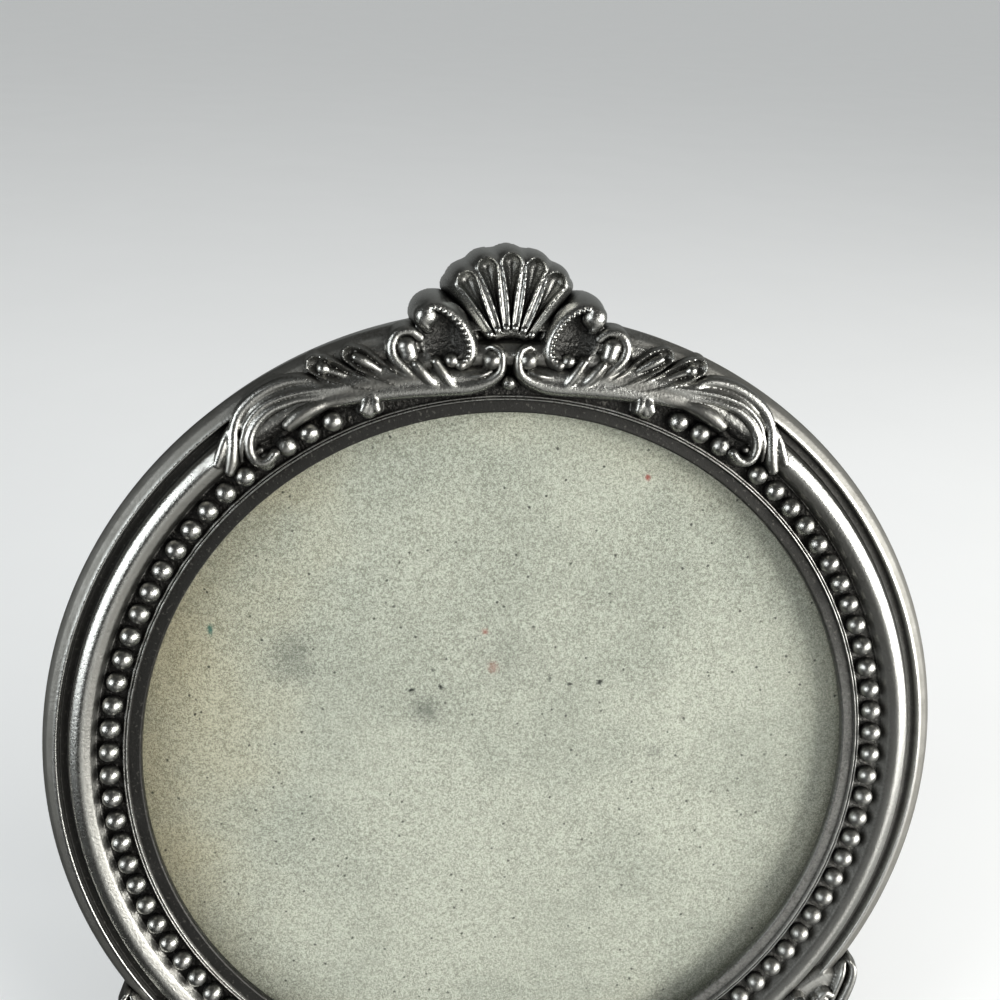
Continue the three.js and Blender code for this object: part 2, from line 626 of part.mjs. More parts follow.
function legOutline() {
  const top = -KNUCKLE_RADIUS - KNUCKLE_GAP;
  const past = -legLength - 2 * LEG_THICKNESS; // cut off at the table
  return outlineOf([
    [-LEG_TOP_WIDTH / 2, top],
    [LEG_TOP_WIDTH / 2, top],
    [LEG_FOOT_WIDTH / 2, past],
    [-LEG_FOOT_WIDTH / 2, past],
  ]);
}

function legSheet(front, thickness) {
  const sheet = solid(plate(legOutline(), front, front + thickness));
  const holes = rivetHoles(-rivetOffset, front - FIT_GAP, front + thickness + FIT_GAP);
  const reach = 2 * legLength;
  const ground = block([-reach, -reach, -reach], [reach, reach, -pivotHeight]);
  return cut(sheet, [...holes, solid(ground.rotateX(lean - legOpen))]);
}

// Turn buttons

function turnButton() {
  const reach = buttonCircleRadius - glassRadius + BUTTON_OVERLAP - BUTTON_TIP_RADIUS;
  const outline = new THREE.Shape();
  outline.absarc(0, 0, BUTTON_END_RADIUS, 0, Math.PI, false);
  outline.lineTo(-BUTTON_TIP_RADIUS, -reach);
  outline.absarc(0, -reach, BUTTON_TIP_RADIUS, Math.PI, 2 * Math.PI, false);
  outline.lineTo(BUTTON_END_RADIUS, 0);
  outline.holes.push(new THREE.Path().absarc(0, 0, holeRadius(SCREW_RADIUS), 0, 2 * Math.PI));
  return plate(outline, buttonFront, buttonFront + BUTTON_THICKNESS);
}

function buttonScrew() {
  const tip = buttonFront - SCREW_DEPTH;
  const shank = solid(disc(SCREW_RADIUS, tip, screwHeadFront + FIT_GAP, SMALL_SEGMENTS));
  const headBack = screwHeadFront + SCREW_HEAD_HEIGHT;
  const head = solid(disc(SCREW_HEAD_RADIUS, screwHeadFront, headBack, SMALL_SEGMENTS));
  const slotLow = [-2 * SCREW_HEAD_RADIUS, headBack - SCREW_SLOT_DEPTH, -SCREW_SLOT_WIDTH / 2];
  const slotHigh = [2 * SCREW_HEAD_RADIUS, headBack + FIT_GAP, SCREW_SLOT_WIDTH / 2];
  return shank.add(head).subtract(solid(block(slotLow, slotHigh)));
}

// Assembly

function named(name, geometry, material) {
  const mesh = new THREE.Mesh(geometry, material);
  mesh.name = name;
  return mesh;
}

function addRivets(group, name, z, headFront, shankFront) {
  rivetPlaces(z).forEach(([x, height], index) => {
    const mesh = named(`${name}_${index + 1}`, rivet(headFront, shankFront), platedSteel);
    mesh.position.set(x, 0, height);
    group.add(mesh);
  });
}

const frame = new THREE.Group();
frame.rotation.x = -lean;
frame.position.z = centreHeight;
frame.add(named('frame_casting', geometryOf(frameCasting()), whiteMetal));
const pane = disc(glassRadius, glassFront, glassFront + GLASS_THICKNESS, DISC_SEGMENTS);
frame.add(named('glass_pane', pane, clearGlass));
const card = disc(glassRadius, cardFront, cardFront + CARD_THICKNESS, DISC_SEGMENTS);
frame.add(named('filler_card', card, greyCard));
frame.add(named('back_board', geometryOf(backDisc(boardFront, BOARD_THICKNESS)), brownBoard));
frame.add(named('back_facing', geometryOf(backDisc(facingFront, FACING_THICKNESS)), blackFlock));

BUTTON_ANGLES.forEach((angle, index) => {
  const place = new THREE.Group();
  place.position.copy(buttonPlace(angle));
  place.rotation.y = THREE.MathUtils.degToRad(angle);
  place.add(named(`turn_button_${index + 1}`, turnButton(), brass));
  place.add(named(`turn_button_screw_${index + 1}`, geometryOf(buttonScrew()), platedSteel));
  frame.add(place);
});

const hinge = new THREE.Group();
hinge.position.set(0, pivotDepth, HINGE_RISE);
hinge.add(named('hinge_upper_leaf', geometryOf(upperLeaf()), platedSteel));
hinge.add(named('hinge_pin', hingePin(), platedSteel));
addRivets(hinge, 'hinge_upper_rivet', rivetOffset, leafBack + FIT_GAP, boardFront - pivotDepth);
frame.add(hinge);

const leg = new THREE.Group();
leg.rotation.x = legOpen;
leg.add(named('hinge_lower_leaf', geometryOf(lowerLeaf()), platedSteel));
leg.add(named('leg_board', geometryOf(legSheet(legFront, LEG_THICKNESS)), brownBoard));
leg.add(named('leg_facing', geometryOf(legSheet(legFacingFront, FACING_THICKNESS)), blackFlock));
addRivets(leg, 'hinge_lower_rivet', -rivetOffset, legRivetHead, -KNUCKLE_RADIUS);
hinge.add(leg);

// The origin is under the middle of the whole
const part = new THREE.Group();
part.add(frame);
part.updateMatrixWorld(true);
const extent = new THREE.Box3().setFromObject(part, true);
const middle = extent.getCenter(new THREE.Vector3());
part.position.set(-middle.x, -middle.y, -extent.min.z);

export default part;
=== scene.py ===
# %% [markdown]
# # Round picture frame
# A small standing frame: a beaded ring cast in pewter-tone metal, with a shell crest and two scroll feet.
# It holds a glass, a grey card and an easel back with a folding leg. The packed solids are loaded first.
# They say where every piece goes and what moves, so the work here is shape and finish only.

# %% Load the packed solids
import json
import math

import bmesh
import bpy
import numpy as np
from mathutils import Matrix, Vector

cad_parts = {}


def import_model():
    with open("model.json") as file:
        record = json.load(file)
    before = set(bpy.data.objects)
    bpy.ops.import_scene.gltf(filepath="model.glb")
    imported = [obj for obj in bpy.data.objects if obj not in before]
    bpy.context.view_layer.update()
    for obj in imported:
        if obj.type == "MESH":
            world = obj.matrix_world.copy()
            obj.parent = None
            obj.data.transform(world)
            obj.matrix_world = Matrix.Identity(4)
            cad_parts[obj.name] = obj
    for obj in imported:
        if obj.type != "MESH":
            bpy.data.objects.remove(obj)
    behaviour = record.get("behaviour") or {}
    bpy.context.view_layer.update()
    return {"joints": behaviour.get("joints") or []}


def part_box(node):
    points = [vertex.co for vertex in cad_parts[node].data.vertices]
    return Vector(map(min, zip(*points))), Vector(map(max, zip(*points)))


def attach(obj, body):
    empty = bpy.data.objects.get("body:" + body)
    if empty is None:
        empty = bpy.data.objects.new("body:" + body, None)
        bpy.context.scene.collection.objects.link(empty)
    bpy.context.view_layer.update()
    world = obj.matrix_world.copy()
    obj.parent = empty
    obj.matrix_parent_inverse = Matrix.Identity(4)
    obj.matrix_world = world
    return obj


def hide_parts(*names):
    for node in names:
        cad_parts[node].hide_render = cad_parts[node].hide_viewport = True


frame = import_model()

# %% [markdown]
# ## A place to draw
# The frame leans back on its leg, so its own axes are tilted in the world. Drawing upright and flat is
# easier: here a point is (right, back, up) in millimetres from the middle of the ring, and one function
# turns such points into the metres of the scene. The lean comes from the axis of a turn button.

# %% Axes of the frame
MM = 0.001
swivel = next(joint for joint in frame["joints"] if joint["name"] == "turn_button_1_swivel")
BACK = np.array(swivel["axis"]) / np.linalg.norm(swivel["axis"])
RIGHT = np.array([1.0, 0.0, 0.0])
UP = np.cross(RIGHT, BACK)
LEAN = math.atan2(-BACK[2], BACK[1])
GLASS_MIDDLE = 2.6  # depth of the middle of the glass behind the bead centres
glass_low, glass_high = (np.array(corner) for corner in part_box("glass_pane"))
CENTRE = (glass_low + glass_high) / 2 - GLASS_MIDDLE * MM * BACK


def world(points):
    """Points in the frame's own millimetres, as metres in the scene."""
    points = np.asarray(points, float)
    return CENTRE + MM * (points @ np.array([RIGHT, BACK, UP]))


print("lean", round(math.degrees(LEAN), 2), "centre", CENTRE.round(5))

# %% [markdown]
# ## Camera
# The camera was fitted to the ring of beads: circles seen at an angle become ellipses, and their shape
# gives the direction, the distance and the lens. It stands close, above and a little to the left.

# %% Camera at the photograph's place
CAMERA_PLACE = (-0.01310, -0.11245, 0.14959)
CAMERA_RIGHT = (0.99544, -0.08690, 0.03922)
CAMERA_UP = (0.00472, 0.45574, 0.89010)
CAMERA_LENS = 38.87

camera = bpy.data.objects.new("camera", bpy.data.cameras.new("camera"))
camera.data.lens = CAMERA_LENS
camera.data.sensor_width = 36.0
camera.data.clip_start = 0.005
right, up = Vector(CAMERA_RIGHT), Vector(CAMERA_UP)
turn = Matrix((right, up, right.cross(up))).transposed().to_4x4()
camera.matrix_world = Matrix.Translation(CAMERA_PLACE) @ turn
bpy.context.scene.collection.objects.link(camera)
bpy.context.scene.camera = camera
print("camera", CAMERA_LENS, "mm, looking down", round(math.degrees(math.asin(right.cross(up).z)), 1))

# %% [markdown]
# ## Writing shaders as sums
# A material is a graph of nodes, and drawing it by hand hides the idea. A small class wraps a socket, so
# that `1 - mask * 0.5` adds the Math nodes itself. The reflected forms, such as `__rsub__`, let a plain
# number stand on the left.

# %% Sockets that add up
class Socket:
    """An output of a node, with Python's operators for shader maths."""

    def __init__(self, graph, output):
        self.graph = graph
        self.output = output

    def maths(self, operation, first, second):
        return self.graph.maths(operation, first, second)

    def __add__(self, other):
        return self.maths("ADD", self, other)

    def __radd__(self, other):
        return self.maths("ADD", other, self)

    def __sub__(self, other):
        return self.maths("SUBTRACT", self, other)

    def __rsub__(self, other):
        return self.maths("SUBTRACT", other, self)

    def __mul__(self, other):
        return self.maths("MULTIPLY", self, other)

    def __rmul__(self, other):
        return self.maths("MULTIPLY", other, self)


print("a socket can be added, subtracted and multiplied from either side")

# %% [markdown]
# ## Growing a graph
# Every node that is no sum comes from one method. It takes the node's type, its settings, which are set
# first because they can change the sockets, and what goes into its sockets. Colours and vectors go through
# Mix and Vector Math nodes, since a Math node turns a colour grey. Short methods name what comes up often.


# %% Graph of nodes
class Graph:
    """A tree of nodes that grows as its methods are called."""

    def __init__(self, tree):
        self.tree = tree

    def feed(self, node, sockets):
        for name, value in sockets.items():
            if isinstance(value, Socket):
                self.tree.links.new(value.output, node.inputs[name])
            else:
                node.inputs[name].default_value = value

    def node(self, kind, settings=None, sockets=None, output=0):
        """Adds a node: its settings first, then the values or links of its sockets."""
        made = self.tree.nodes.new(kind)
        for name, value in (settings or {}).items():
            setattr(made, name, value)
        self.feed(made, sockets or {})
        return Socket(self, made.outputs[output])

    def maths(self, operation, first, second):
        return self.node("ShaderNodeMath", {"operation": operation}, {0: first, 1: second})

    def step(self, value, low, high):
        """0 below low, 1 above high, smooth between them."""
        sockets = {"Value": value, "From Min": low, "From Max": high}
        return self.node("ShaderNodeMapRange", {"interpolation_type": "SMOOTHSTEP"}, sockets)

    def blend(self, factor, first, second, kind="MIX"):
        """A colour between two colours."""
        settings = {"data_type": "RGBA", "clamp_factor": True, "blend_type": kind}
        return self.node("ShaderNodeMix", settings, {0: factor, 6: first, 7: second}, output=2)

    def tint(self, factor, colour, filter_colour):
        """A colour seen through a coloured film."""
        return self.blend(factor, colour, filter_colour, "MULTIPLY")

    def vector(self, operation, first, second):
        return self.node("ShaderNodeVectorMath", {"operation": operation}, {0: first, 1: second})

    def dot(self, first, second):
        """How far one direction runs along another."""
        sockets = {0: first, 1: second}
        return self.node("ShaderNodeVectorMath", {"operation": "DOT_PRODUCT"}, sockets, output="Value")

    def length(self, vector):
        return self.node("ShaderNodeVectorMath", {"operation": "LENGTH"}, {0: vector}, output="Value")

    def part(self, vector, axis):
        """One coordinate of a vector."""
        return self.node("ShaderNodeSeparateXYZ", sockets={0: vector}, output=axis)

    def most(self, *values):
        """The largest of some values."""
        largest = values[0]
        for value in values[1:]:
            largest = self.maths("MAXIMUM", largest, value)
        return largest

    def band(self, value, rise, fall):
        """1 between two smooth steps, 0 outside them."""
        return self.step(value, *rise) * (1 - self.step(value, *fall))


print("a graph grows by", [name for name in vars(Graph) if not name.startswith("_")])

# %% [markdown]
# ## A finish
# A finish is one Principled shader with the graph that feeds it. Its patterns start from the place on the
# frame in millimetres, and not from UV maps, so that grain keeps its size on every piece and nothing has to
# be unwrapped. Rubbed edges are found where a rounded normal leaves the true one.


# %% Finish
class Finish(Graph):
    """A procedural material with one Principled shader."""

    def __init__(self, name, **constants):
        self.material = bpy.data.materials.new(name)
        self.material.use_nodes = True
        super().__init__(self.material.node_tree)
        self.shader = self.tree.nodes["Principled BSDF"]
        self.surface(**constants)

    def surface(self, **sockets):
        self.feed(self.shader, {key.replace("_", " "): value for key, value in sockets.items()})

    def see_through(self, factor, colour):
        """Mixes the shader, by the factor, over a clear one of the given colour."""
        clear = self.node("ShaderNodeBsdfTransparent", sockets={"Color": colour})
        shader = Socket(self, self.shader.outputs["BSDF"])
        mixed = self.node("ShaderNodeMixShader", sockets={0: factor, 1: clear, 2: shader})
        self.feed(self.tree.nodes["Material Output"], {"Surface": mixed})

    def place(self):
        """Where the surface is, in the frame's own millimetres."""
        point = self.node("ShaderNodeTexCoord", output="Object")
        spot = {"Vector": point, "Location": CENTRE, "Rotation": (-LEAN, 0, 0), "Scale": (MM, MM, MM)}
        return self.node("ShaderNodeMapping", {"vector_type": "TEXTURE"}, spot)

    def from_axis(self, place):
        """Distance from the axis of the ring."""
        return self.length(self.vector("MULTIPLY", place, (1, 0, 1)))

    def spot(self, place, x, z, wide, high):
        """How far a place lies from the middle of a spot, in shares of its half widths."""
        away = self.vector("SUBTRACT", place, (x, 0, z))
        return self.length(self.vector("MULTIPLY", away, (1 / wide, 0, 1 / high)))

    def noise(self, place, scale, detail=3.0, roughness=0.55, distortion=0.0):
        sockets = {"Vector": place, "Scale": scale, "Detail": detail, "Roughness": roughness}
        sockets["Distortion"] = distortion
        return self.node("ShaderNodeTexNoise", sockets=sockets)

    def bump(self, height, strength, distance, under=None):
        sockets = {"Height": height, "Strength": strength, "Distance": distance * MM}
        if under is not None:
            sockets["Normal"] = under
        return self.node("ShaderNodeBump", sockets=sockets)

    def worn_edges(self, reach):
        """1 near outer edges: there a rounded normal leaves the true one."""
        rounded = self.node("ShaderNodeBevel", {"samples": 4}, {"Radius": reach * MM})
        true = self.node("ShaderNodeNewGeometry", output="Normal")
        return 1 - self.step(self.dot(rounded, true), 0.75, 0.99)


print("a finish can also", [name for name in vars(Finish) if not name.startswith("_")])

# %% [markdown]
# ## Pewter
# The casting was dipped in a black wash and burnished, so hollows stay black and high places shine. Such
# wear could be painted by hand, but masks follow the relief by themselves. They start from a few measures:
# where a point is on the ring, how much of its surroundings it can see, which is ambient occlusion, and
# three sizes of noise. The lower right of the ring is painted paler than the rest, which is painted light,
# and it is rougher there as well.

# %% Measures on the casting
HOLLOW_REACH = 1.1  # how far ambient occlusion looks, in millimetres
PALE_SIDE_WAY = (0.7, 0, -0.7)  # towards the lower right
PALE_SIDE_REACH = (5, 45)  # the painted paler side sets in and is full at these distances along it


class Pewter(Finish):
    """A finish that knows where it is on the casting."""

    def __init__(self, name):
        super().__init__(name, Specular_IOR_Level=0.5)
        self.here = self.place()
        self.depth = self.part(self.here, "Y")
        self.height = self.part(self.here, "Z")
        self.radius = self.from_axis(self.here)
        self.patches = self.noise(self.here, 0.45, detail=4)
        self.grain = self.noise(self.here, 3.2, detail=4, roughness=0.65)
        self.pits = self.noise(self.here, 2.4, detail=2, roughness=0.5)
        # painted light: the lower right is painted paler, and it is rougher as well
        self.painted_pale_lower_right = self.step(self.dot(self.here, PALE_SIDE_WAY), *PALE_SIDE_REACH)
        open_sky = self.node("ShaderNodeAmbientOcclusion", {"samples": 3, "only_local": True},
                             {"Distance": HOLLOW_REACH * MM}, output="AO")
        self.frayed = open_sky + (self.patches - 0.5) * 0.6 + (self.grain - 0.5) * 0.7


pewter = Pewter("antique_pewter")
print("measures take", len(pewter.tree.nodes), "nodes")

# %% [markdown]
# ## Black wash
# The wash stays in the bead channel, on the lip, in the groove and in the stippled bowls of the crest. Each
# of these is a band of distances from the axis, cut off by depth, so no map has to be painted. Noise frays
# the edges. At the lower right the wash is painted thinner, which is painted light, but on the flank of the
# ovolo there it is painted on, which is painted shade.

# %% Where the wash stays
# each pair is where a part begins or ends, with a soft edge between, as distances from the axis
LIP_EDGE = (45.8, 46.5)
CHANNEL_EDGE = (49.7, 50.3)
FLANK_START = (49.3, 49.7)  # the flank is the inner side of the ovolo
# where the painted shade on the flank of the ovolo ends
PAINTED_SHADE_FLANK_END = (50.3, 51.0)
GROOVE_START, GROOVE_END = (52.6, 52.9), (53.9, 54.05)
# and as depths behind the bead centres
CHANNEL_DEPTH = (0.22, 0.46)
GROOVE_DEPTH = (-0.35, 0.05)
CAST_BACK = (1.6, 3.5)  # behind this the metal is plain cast grey
BOWL_FRONT, BOWL_BACK = (-1.3, -0.9), (0.8, 1.3)
# x, z, half width, half height
STIPPLED_BOWLS = [(7.6, 53.5, 3.1, 3.5), (27.3, 42.2, 2.2, 3.0)]


def stippled_bowls(pewter):
    """1 in the bowls of the crest, which are the same on both sides."""
    sideways = pewter.part(pewter.here, "X")
    folded = {"X": pewter.most(sideways, 0 - sideways), "Z": pewter.height}
    folded = pewter.node("ShaderNodeCombineXYZ", sockets=folded)
    bowls = [1 - pewter.step(pewter.spot(folded, *bowl), 0.75, 1.1) for bowl in STIPPLED_BOWLS]
    return pewter.most(*bowls) * pewter.band(pewter.depth, BOWL_FRONT, BOWL_BACK)


def black_wash(pewter):
    """The wash, and the part of it that is stippled."""
    depth, radius, grain, painted_pale_lower_right = pewter.depth, pewter.radius, pewter.grain, pewter.painted_pale_lower_right
    hollow = 1 - pewter.step(pewter.frayed, 0.34, 0.74)
    # painted shade: at the lower right the flank of the ovolo is washed black
    flank = pewter.band(radius, FLANK_START, PAINTED_SHADE_FLANK_END) * painted_pale_lower_right * (0.3 + grain * 0.6)
    in_channel = pewter.band(radius, LIP_EDGE, CHANNEL_EDGE)
    on_lip = 1 - pewter.step(radius, *LIP_EDGE)
    deep = pewter.step(depth + (pewter.pits - 0.5) * 0.2, *CHANNEL_DEPTH)
    deep = deep * (1 - pewter.step(depth, *CAST_BACK))
    # painted light: at the lower right the channel and the lip get less wash
    deep = deep * (in_channel * (0.96 - painted_pale_lower_right * 0.4) + on_lip * (0.94 - painted_pale_lower_right * (0.12 + grain * 0.52)))
    groove = pewter.band(radius, GROOVE_START, GROOVE_END) * pewter.step(depth, *GROOVE_DEPTH)
    bowls = stippled_bowls(pewter)
    # painted light: the groove also gets less wash at the lower right
    wash = pewter.most(hollow, flank, deep, bowls * 0.9, groove * (0.9 - painted_pale_lower_right * 0.4))
    return wash, pewter.most(deep * in_channel, bowls)


wash, stippled = black_wash(pewter)
print("with the wash it has", len(pewter.tree.nodes), "nodes")

# %% [markdown]
# ## Grey film and painted shade
# Between the black and the bright metal lies a thin grey film. It is painted thicker on faces that look up
# and on the flank of the ovolo, which is painted shade, and the outer step is darker as well. On the crest
# it is mostly taken away, which is painted light.

# %% Where the film and painted shade stay
UPPER_FACES = (0.45, 0.95)  # the height of the normal of a face that looks up and gets painted shade
PALE_CREST_HEIGHTS = (53.0, 56.0)  # heights between which the crest is painted paler, as painted light
CREST_FOOT = (52.0, 54.0)  # heights where the step goes under the crest
FLANK_END = (50.6, 51.2)
STEP_START, STEP_END = (54.3, 54.7), (56.3, 56.6)
STEP_FRONT, STEP_BACK = (-0.75, -0.6), (1.0, 2.5)


def grey_film_and_shade(pewter):
    """The film with its painted shade and light, and the outer step, which is rough as well."""
    facing = pewter.node("ShaderNodeNewGeometry", output="Normal")
    # painted shade: faces that look up get more film
    painted_shade_upward = pewter.step(pewter.part(facing, "Z"), *UPPER_FACES)
    # painted light: the crest loses most of its film
    painted_pale_crest = pewter.step(pewter.height, *PALE_CREST_HEIGHTS)
    film_and_shade = (1 - pewter.step(pewter.frayed - painted_shade_upward * 0.28, 0.60, 1.05)) * (1 - painted_pale_crest * 0.6)
    outer_step = pewter.band(pewter.radius, STEP_START, STEP_END)
    outer_step = outer_step * pewter.band(pewter.depth, STEP_FRONT, STEP_BACK)
    outer_step = outer_step * (1 - pewter.step(pewter.height, *CREST_FOOT))
    # painted shade: the flank of the ovolo gets film all round; the outer step is made darker
    flank = pewter.band(pewter.radius, FLANK_START, FLANK_END)
    return pewter.most(film_and_shade, outer_step * (0.7 + pewter.patches * 0.4), flank * 0.7), outer_step


film_and_shade, outer_step = grey_film_and_shade(pewter)
print("with the film it has", len(pewter.tree.nodes), "nodes")

# %% [markdown]
# ## Colour and roughness of the pewter
# The masks now mix three layers: metal, film and black, with a few glints of metal in the black. The film
# and the black carry the painted shade and light set above. The wash is paint, so it is rougher and a
# little less metallic. Fine grain and the stippling are too small to model, so they are left to bump.

# %% Antiqued pewter
BRIGHT_METAL, DULL_METAL = (0.47, 0.475, 0.455, 1), (0.36, 0.365, 0.345, 1)
FILM_AND_SHADE_GREY = (0.12, 0.115, 0.10, 1)
WASH_BLACK, WASH_GLINT = (0.010, 0.0095, 0.0085, 1), (0.13, 0.125, 0.11, 1)

metal = pewter.blend(pewter.patches, BRIGHT_METAL, DULL_METAL)
# this grey also carries the painted shade and the painted light of the film
filmed_and_shaded = pewter.blend(film_and_shade * 0.75, metal, FILM_AND_SHADE_GREY)
uneven = pewter.grain - 0.5
glints = pewter.step(pewter.pits + uneven * 0.4, 0.60, 0.74)
black = pewter.blend(glints * 0.5, WASH_BLACK, WASH_GLINT)
rough = 0.27 + pewter.painted_pale_lower_right * 0.12 + wash * 0.16 + film_and_shade * 0.10 + outer_step * 0.2 + uneven * 0.2
skin = pewter.bump(pewter.grain, 0.65, 0.08)
stipple = pewter.bump(pewter.pits * stippled, 0.9, 0.35, under=skin)
pewter.surface(Base_Color=pewter.blend(wash, filmed_and_shaded, black), Roughness=rough,
               Metallic=1 - wash * 0.15, Normal=stipple)
PEWTER = pewter.material
print("pewter has", len(PEWTER.node_tree.nodes), "nodes")

# %% [markdown]
# ## Meshes from numbers
# Every piece becomes a mesh from lists of points and faces, which keeps each size exact. Normals are turned
# outwards, because the tools that join and cut need closed meshes that know their outside. Shading is
# smooth, apart from edges that are sharp on the real piece.

# %% Making and shading meshes
SHARP_ANGLE = math.radians(38)


def mesh_object(name, points, faces, to_scene=world):
    mesh = bpy.data.meshes.new(name)
    mesh.from_pydata(to_scene(points).tolist(), [], faces)
    shape = bmesh.new()
    shape.from_mesh(mesh)
    bmesh.ops.recalc_face_normals(shape, faces=shape.faces)
    shape.to_mesh(mesh)
    shape.free()
    made = bpy.data.objects.new(name, mesh)
    bpy.context.scene.collection.objects.link(made)
    return made


def shade(made, angle=SHARP_ANGLE):
    """Smooth shading, with edges sharper than the angle left sharp."""
    shape = bmesh.new()
    shape.from_mesh(made.data)
    for face in shape.faces:
        face.smooth = True
    for edge in shape.edges:
        edge.smooth = edge.calc_face_angle(0.0) < angle
    shape.to_mesh(made.data)
    shape.free()


print("edges over", round(math.degrees(SHARP_ANGLE)), "degrees stay sharp")

# %% [markdown]
# ## Joining, cutting and handing over
# The casting is one piece of metal, so its parts are joined by boolean modifiers into one closed mesh. Each
# modifier is applied at once, so that the next starts from a plain mesh. A finished piece gets its material
# and rides on its body, and the packed solid it stands for is hidden.


# %% Tools for closed meshes
def applied(made):
    """Makes the result of an object's modifiers its mesh."""
    view = bpy.context.evaluated_depsgraph_get()
    mesh = bpy.data.meshes.new_from_object(made.evaluated_get(view))
    made.modifiers.clear()
    made.data = mesh


def combine(first, second, operation):
    """Joins, cuts or keeps the overlap of two closed meshes, and drops the second."""
    modifier = first.modifiers.new(operation.lower(), "BOOLEAN")
    modifier.operation = operation
    modifier.solver = "MANIFOLD"
    modifier.object = second
    applied(first)
    bpy.data.objects.remove(second)


def thin(made, triangles):
    """Takes triangles away where the surface is nearly flat."""
    count = sum(len(face.vertices) - 2 for face in made.data.polygons)
    modifier = made.modifiers.new("thin", "DECIMATE")
    modifier.ratio = min(1.0, triangles / count)
    applied(made)


def finish_piece(made, material, body, node, slot):
    made.data.materials.clear()
    made.data.materials.append(material)
    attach(made, body)
    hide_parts(node)
    print(made.name, len(made.data.vertices), "points,", len(made.data.polygons), "faces")


print("pieces are handed over by", finish_piece.__name__)

# %% [markdown]
# ## The ring
# The moulding is one cross section swept round a circle: lip, ridge, bead channel, ovolo, groove and outer
# step, and at the back a cored hollow that saves metal. It could be a curve with a bevel, but a lathe in
# code keeps every radius exact. The section is drawn as corners, each with its own rounding.

# %% Cross section of the moulding
CORNER_STEPS = 5
CORNER_SHARE = 0.48  # an arc takes at most this share of a side
# radius, depth behind the bead centres, rounding of the corner
SECTION = [
    (44.4, 0.5, 0.28), (45.9, 0.5, 0.1), (45.97, 0.08, 0.09), (46.13, 0.08, 0.09), (46.22, 0.4, 0.04),
    (46.31, 0.08, 0.09), (46.47, 0.08, 0.09), (46.54, 0.55, 0.1),
    (49.5, 0.55, 0.2), (50.1, -0.65, 0.7), (51.3, -1.3, 1.1), (52.5, -0.75, 0.8), (53.1, 0.35, 0.15),
    (53.9, 0.35, 0.15), (54.1, -0.6, 0.2), (55.3, -0.2, 0.8), (56.2, 0.9, 1.2),
    (56.2, 7.3, 0.5), (54.1, 7.3, 0.2), (54.1, 4.3, 0.5), (49.0, 4.3, 0.5), (49.0, 7.3, 0.2),
    (46.9, 7.3, 0.2), (46.9, 1.5, 0.1), (44.4, 1.5, 0.1),
]


def rounded_section(corners, steps=CORNER_STEPS):
    """The closed outline through the corners, each turned into an arc of its rounding."""
    outline = []
    for index, (*corner, rounding) in enumerate(corners):
        corner = np.array(corner)
        before = np.array(corners[index - 1][:2]) - corner
        after = np.array(corners[(index + 1) % len(corners)][:2]) - corner
        limit = CORNER_SHARE * min(np.linalg.norm(before), np.linalg.norm(after))
        before, after = before / np.linalg.norm(before), after / np.linalg.norm(after)
        half = math.acos(np.clip(before @ after, -1, 1)) / 2
        reach = min(rounding / math.tan(half), limit)
        for t in np.linspace(0, 1, steps):
            start, end = corner + before * reach, corner + after * reach
            outline.append((1 - t) ** 2 * start + 2 * t * (1 - t) * corner + t ** 2 * end)
    return np.array(outline)


section = rounded_section(SECTION)
print("section:", len(SECTION), "corners,", len(section), "points")


# %% Ring from its section
RING_SEGMENTS = 360


def lathe(name, section, segments):
    """Sweeps a closed section (radius, depth) round the axis of the ring."""
    count = len(section)
    angles = np.arange(segments) * 2 * math.pi / segments
    radius, depth = section[:, 0], section[:, 1]
    points = np.stack([np.outer(np.sin(angles), radius), np.tile(depth, (segments, 1)),
                       np.outer(np.cos(angles), radius)], axis=-1).reshape(-1, 3)
    faces = []
    for turn in range(segments):
        here, there = turn * count, (turn + 1) % segments * count
        for k in range(count):
            after = (k + 1) % count
            faces.append((here + k, here + after, there + after, there + k))
    return mesh_object(name, points, faces)


casting = lathe("frame_casting_visual", section, RING_SEGMENTS)
print("ring:", len(casting.data.polygons), "faces")

# %% [markdown]
# ## Beads
# About a hundred half-sunk balls run round the channel. An array on a circle would do, but the crest takes
# the place of a dozen of them at the top, so each is placed by its angle and the covered ones are skipped.

# %% Balls
BALL_STEPS = 18


def ball(centre, radii, steps=BALL_STEPS):
    """Points and faces of a ball or egg."""
    rings = steps // 2
    points = [(0, -1, 0)]
    for ring in range(1, rings):
        tilt = math.pi * ring / rings
        level, width = -math.cos(tilt), math.sin(tilt)
        for k in range(steps):
            turn = 2 * math.pi * k / steps
            points.append((width * math.cos(turn), level, width * math.sin(turn)))
    points.append((0, 1, 0))
    last = len(points) - 1
    faces = []
    for k in range(steps):
        after = (k + 1) % steps
        faces.append((0, 1 + after, 1 + k))
        faces.append((last, last - steps + k, last - steps + after))
        for ring in range(rings - 2):
            low = 1 + ring * steps
            faces.append((low + k, low + after, low + steps + after, low + steps + k))
    return np.array(centre) + np.array(points) * radii, faces


def gather(name, shapes):
    """One mesh from several sets of points and faces."""
    points, faces = [], []
    for some, corners in shapes:
        faces += [tuple(index + len(points) for index in face) for face in corners]
        points += list(some)
    return mesh_object(name, points, faces)


print("a ball has", len(ball((0, 0, 0), (1, 1, 1))[1]), "faces")

# %% Beads in the channel
BEAD_RADIUS = 1.25
TOP_BEAD_RADIUS = 0.9  # the top one is half hidden between the volutes
BEAD_CIRCLE = 48.0
BEAD_COUNT = 100
COVERED_BEADS = 6  # on each side of the top one
HIDDEN_BEAD = 10  # under the end scroll at the right

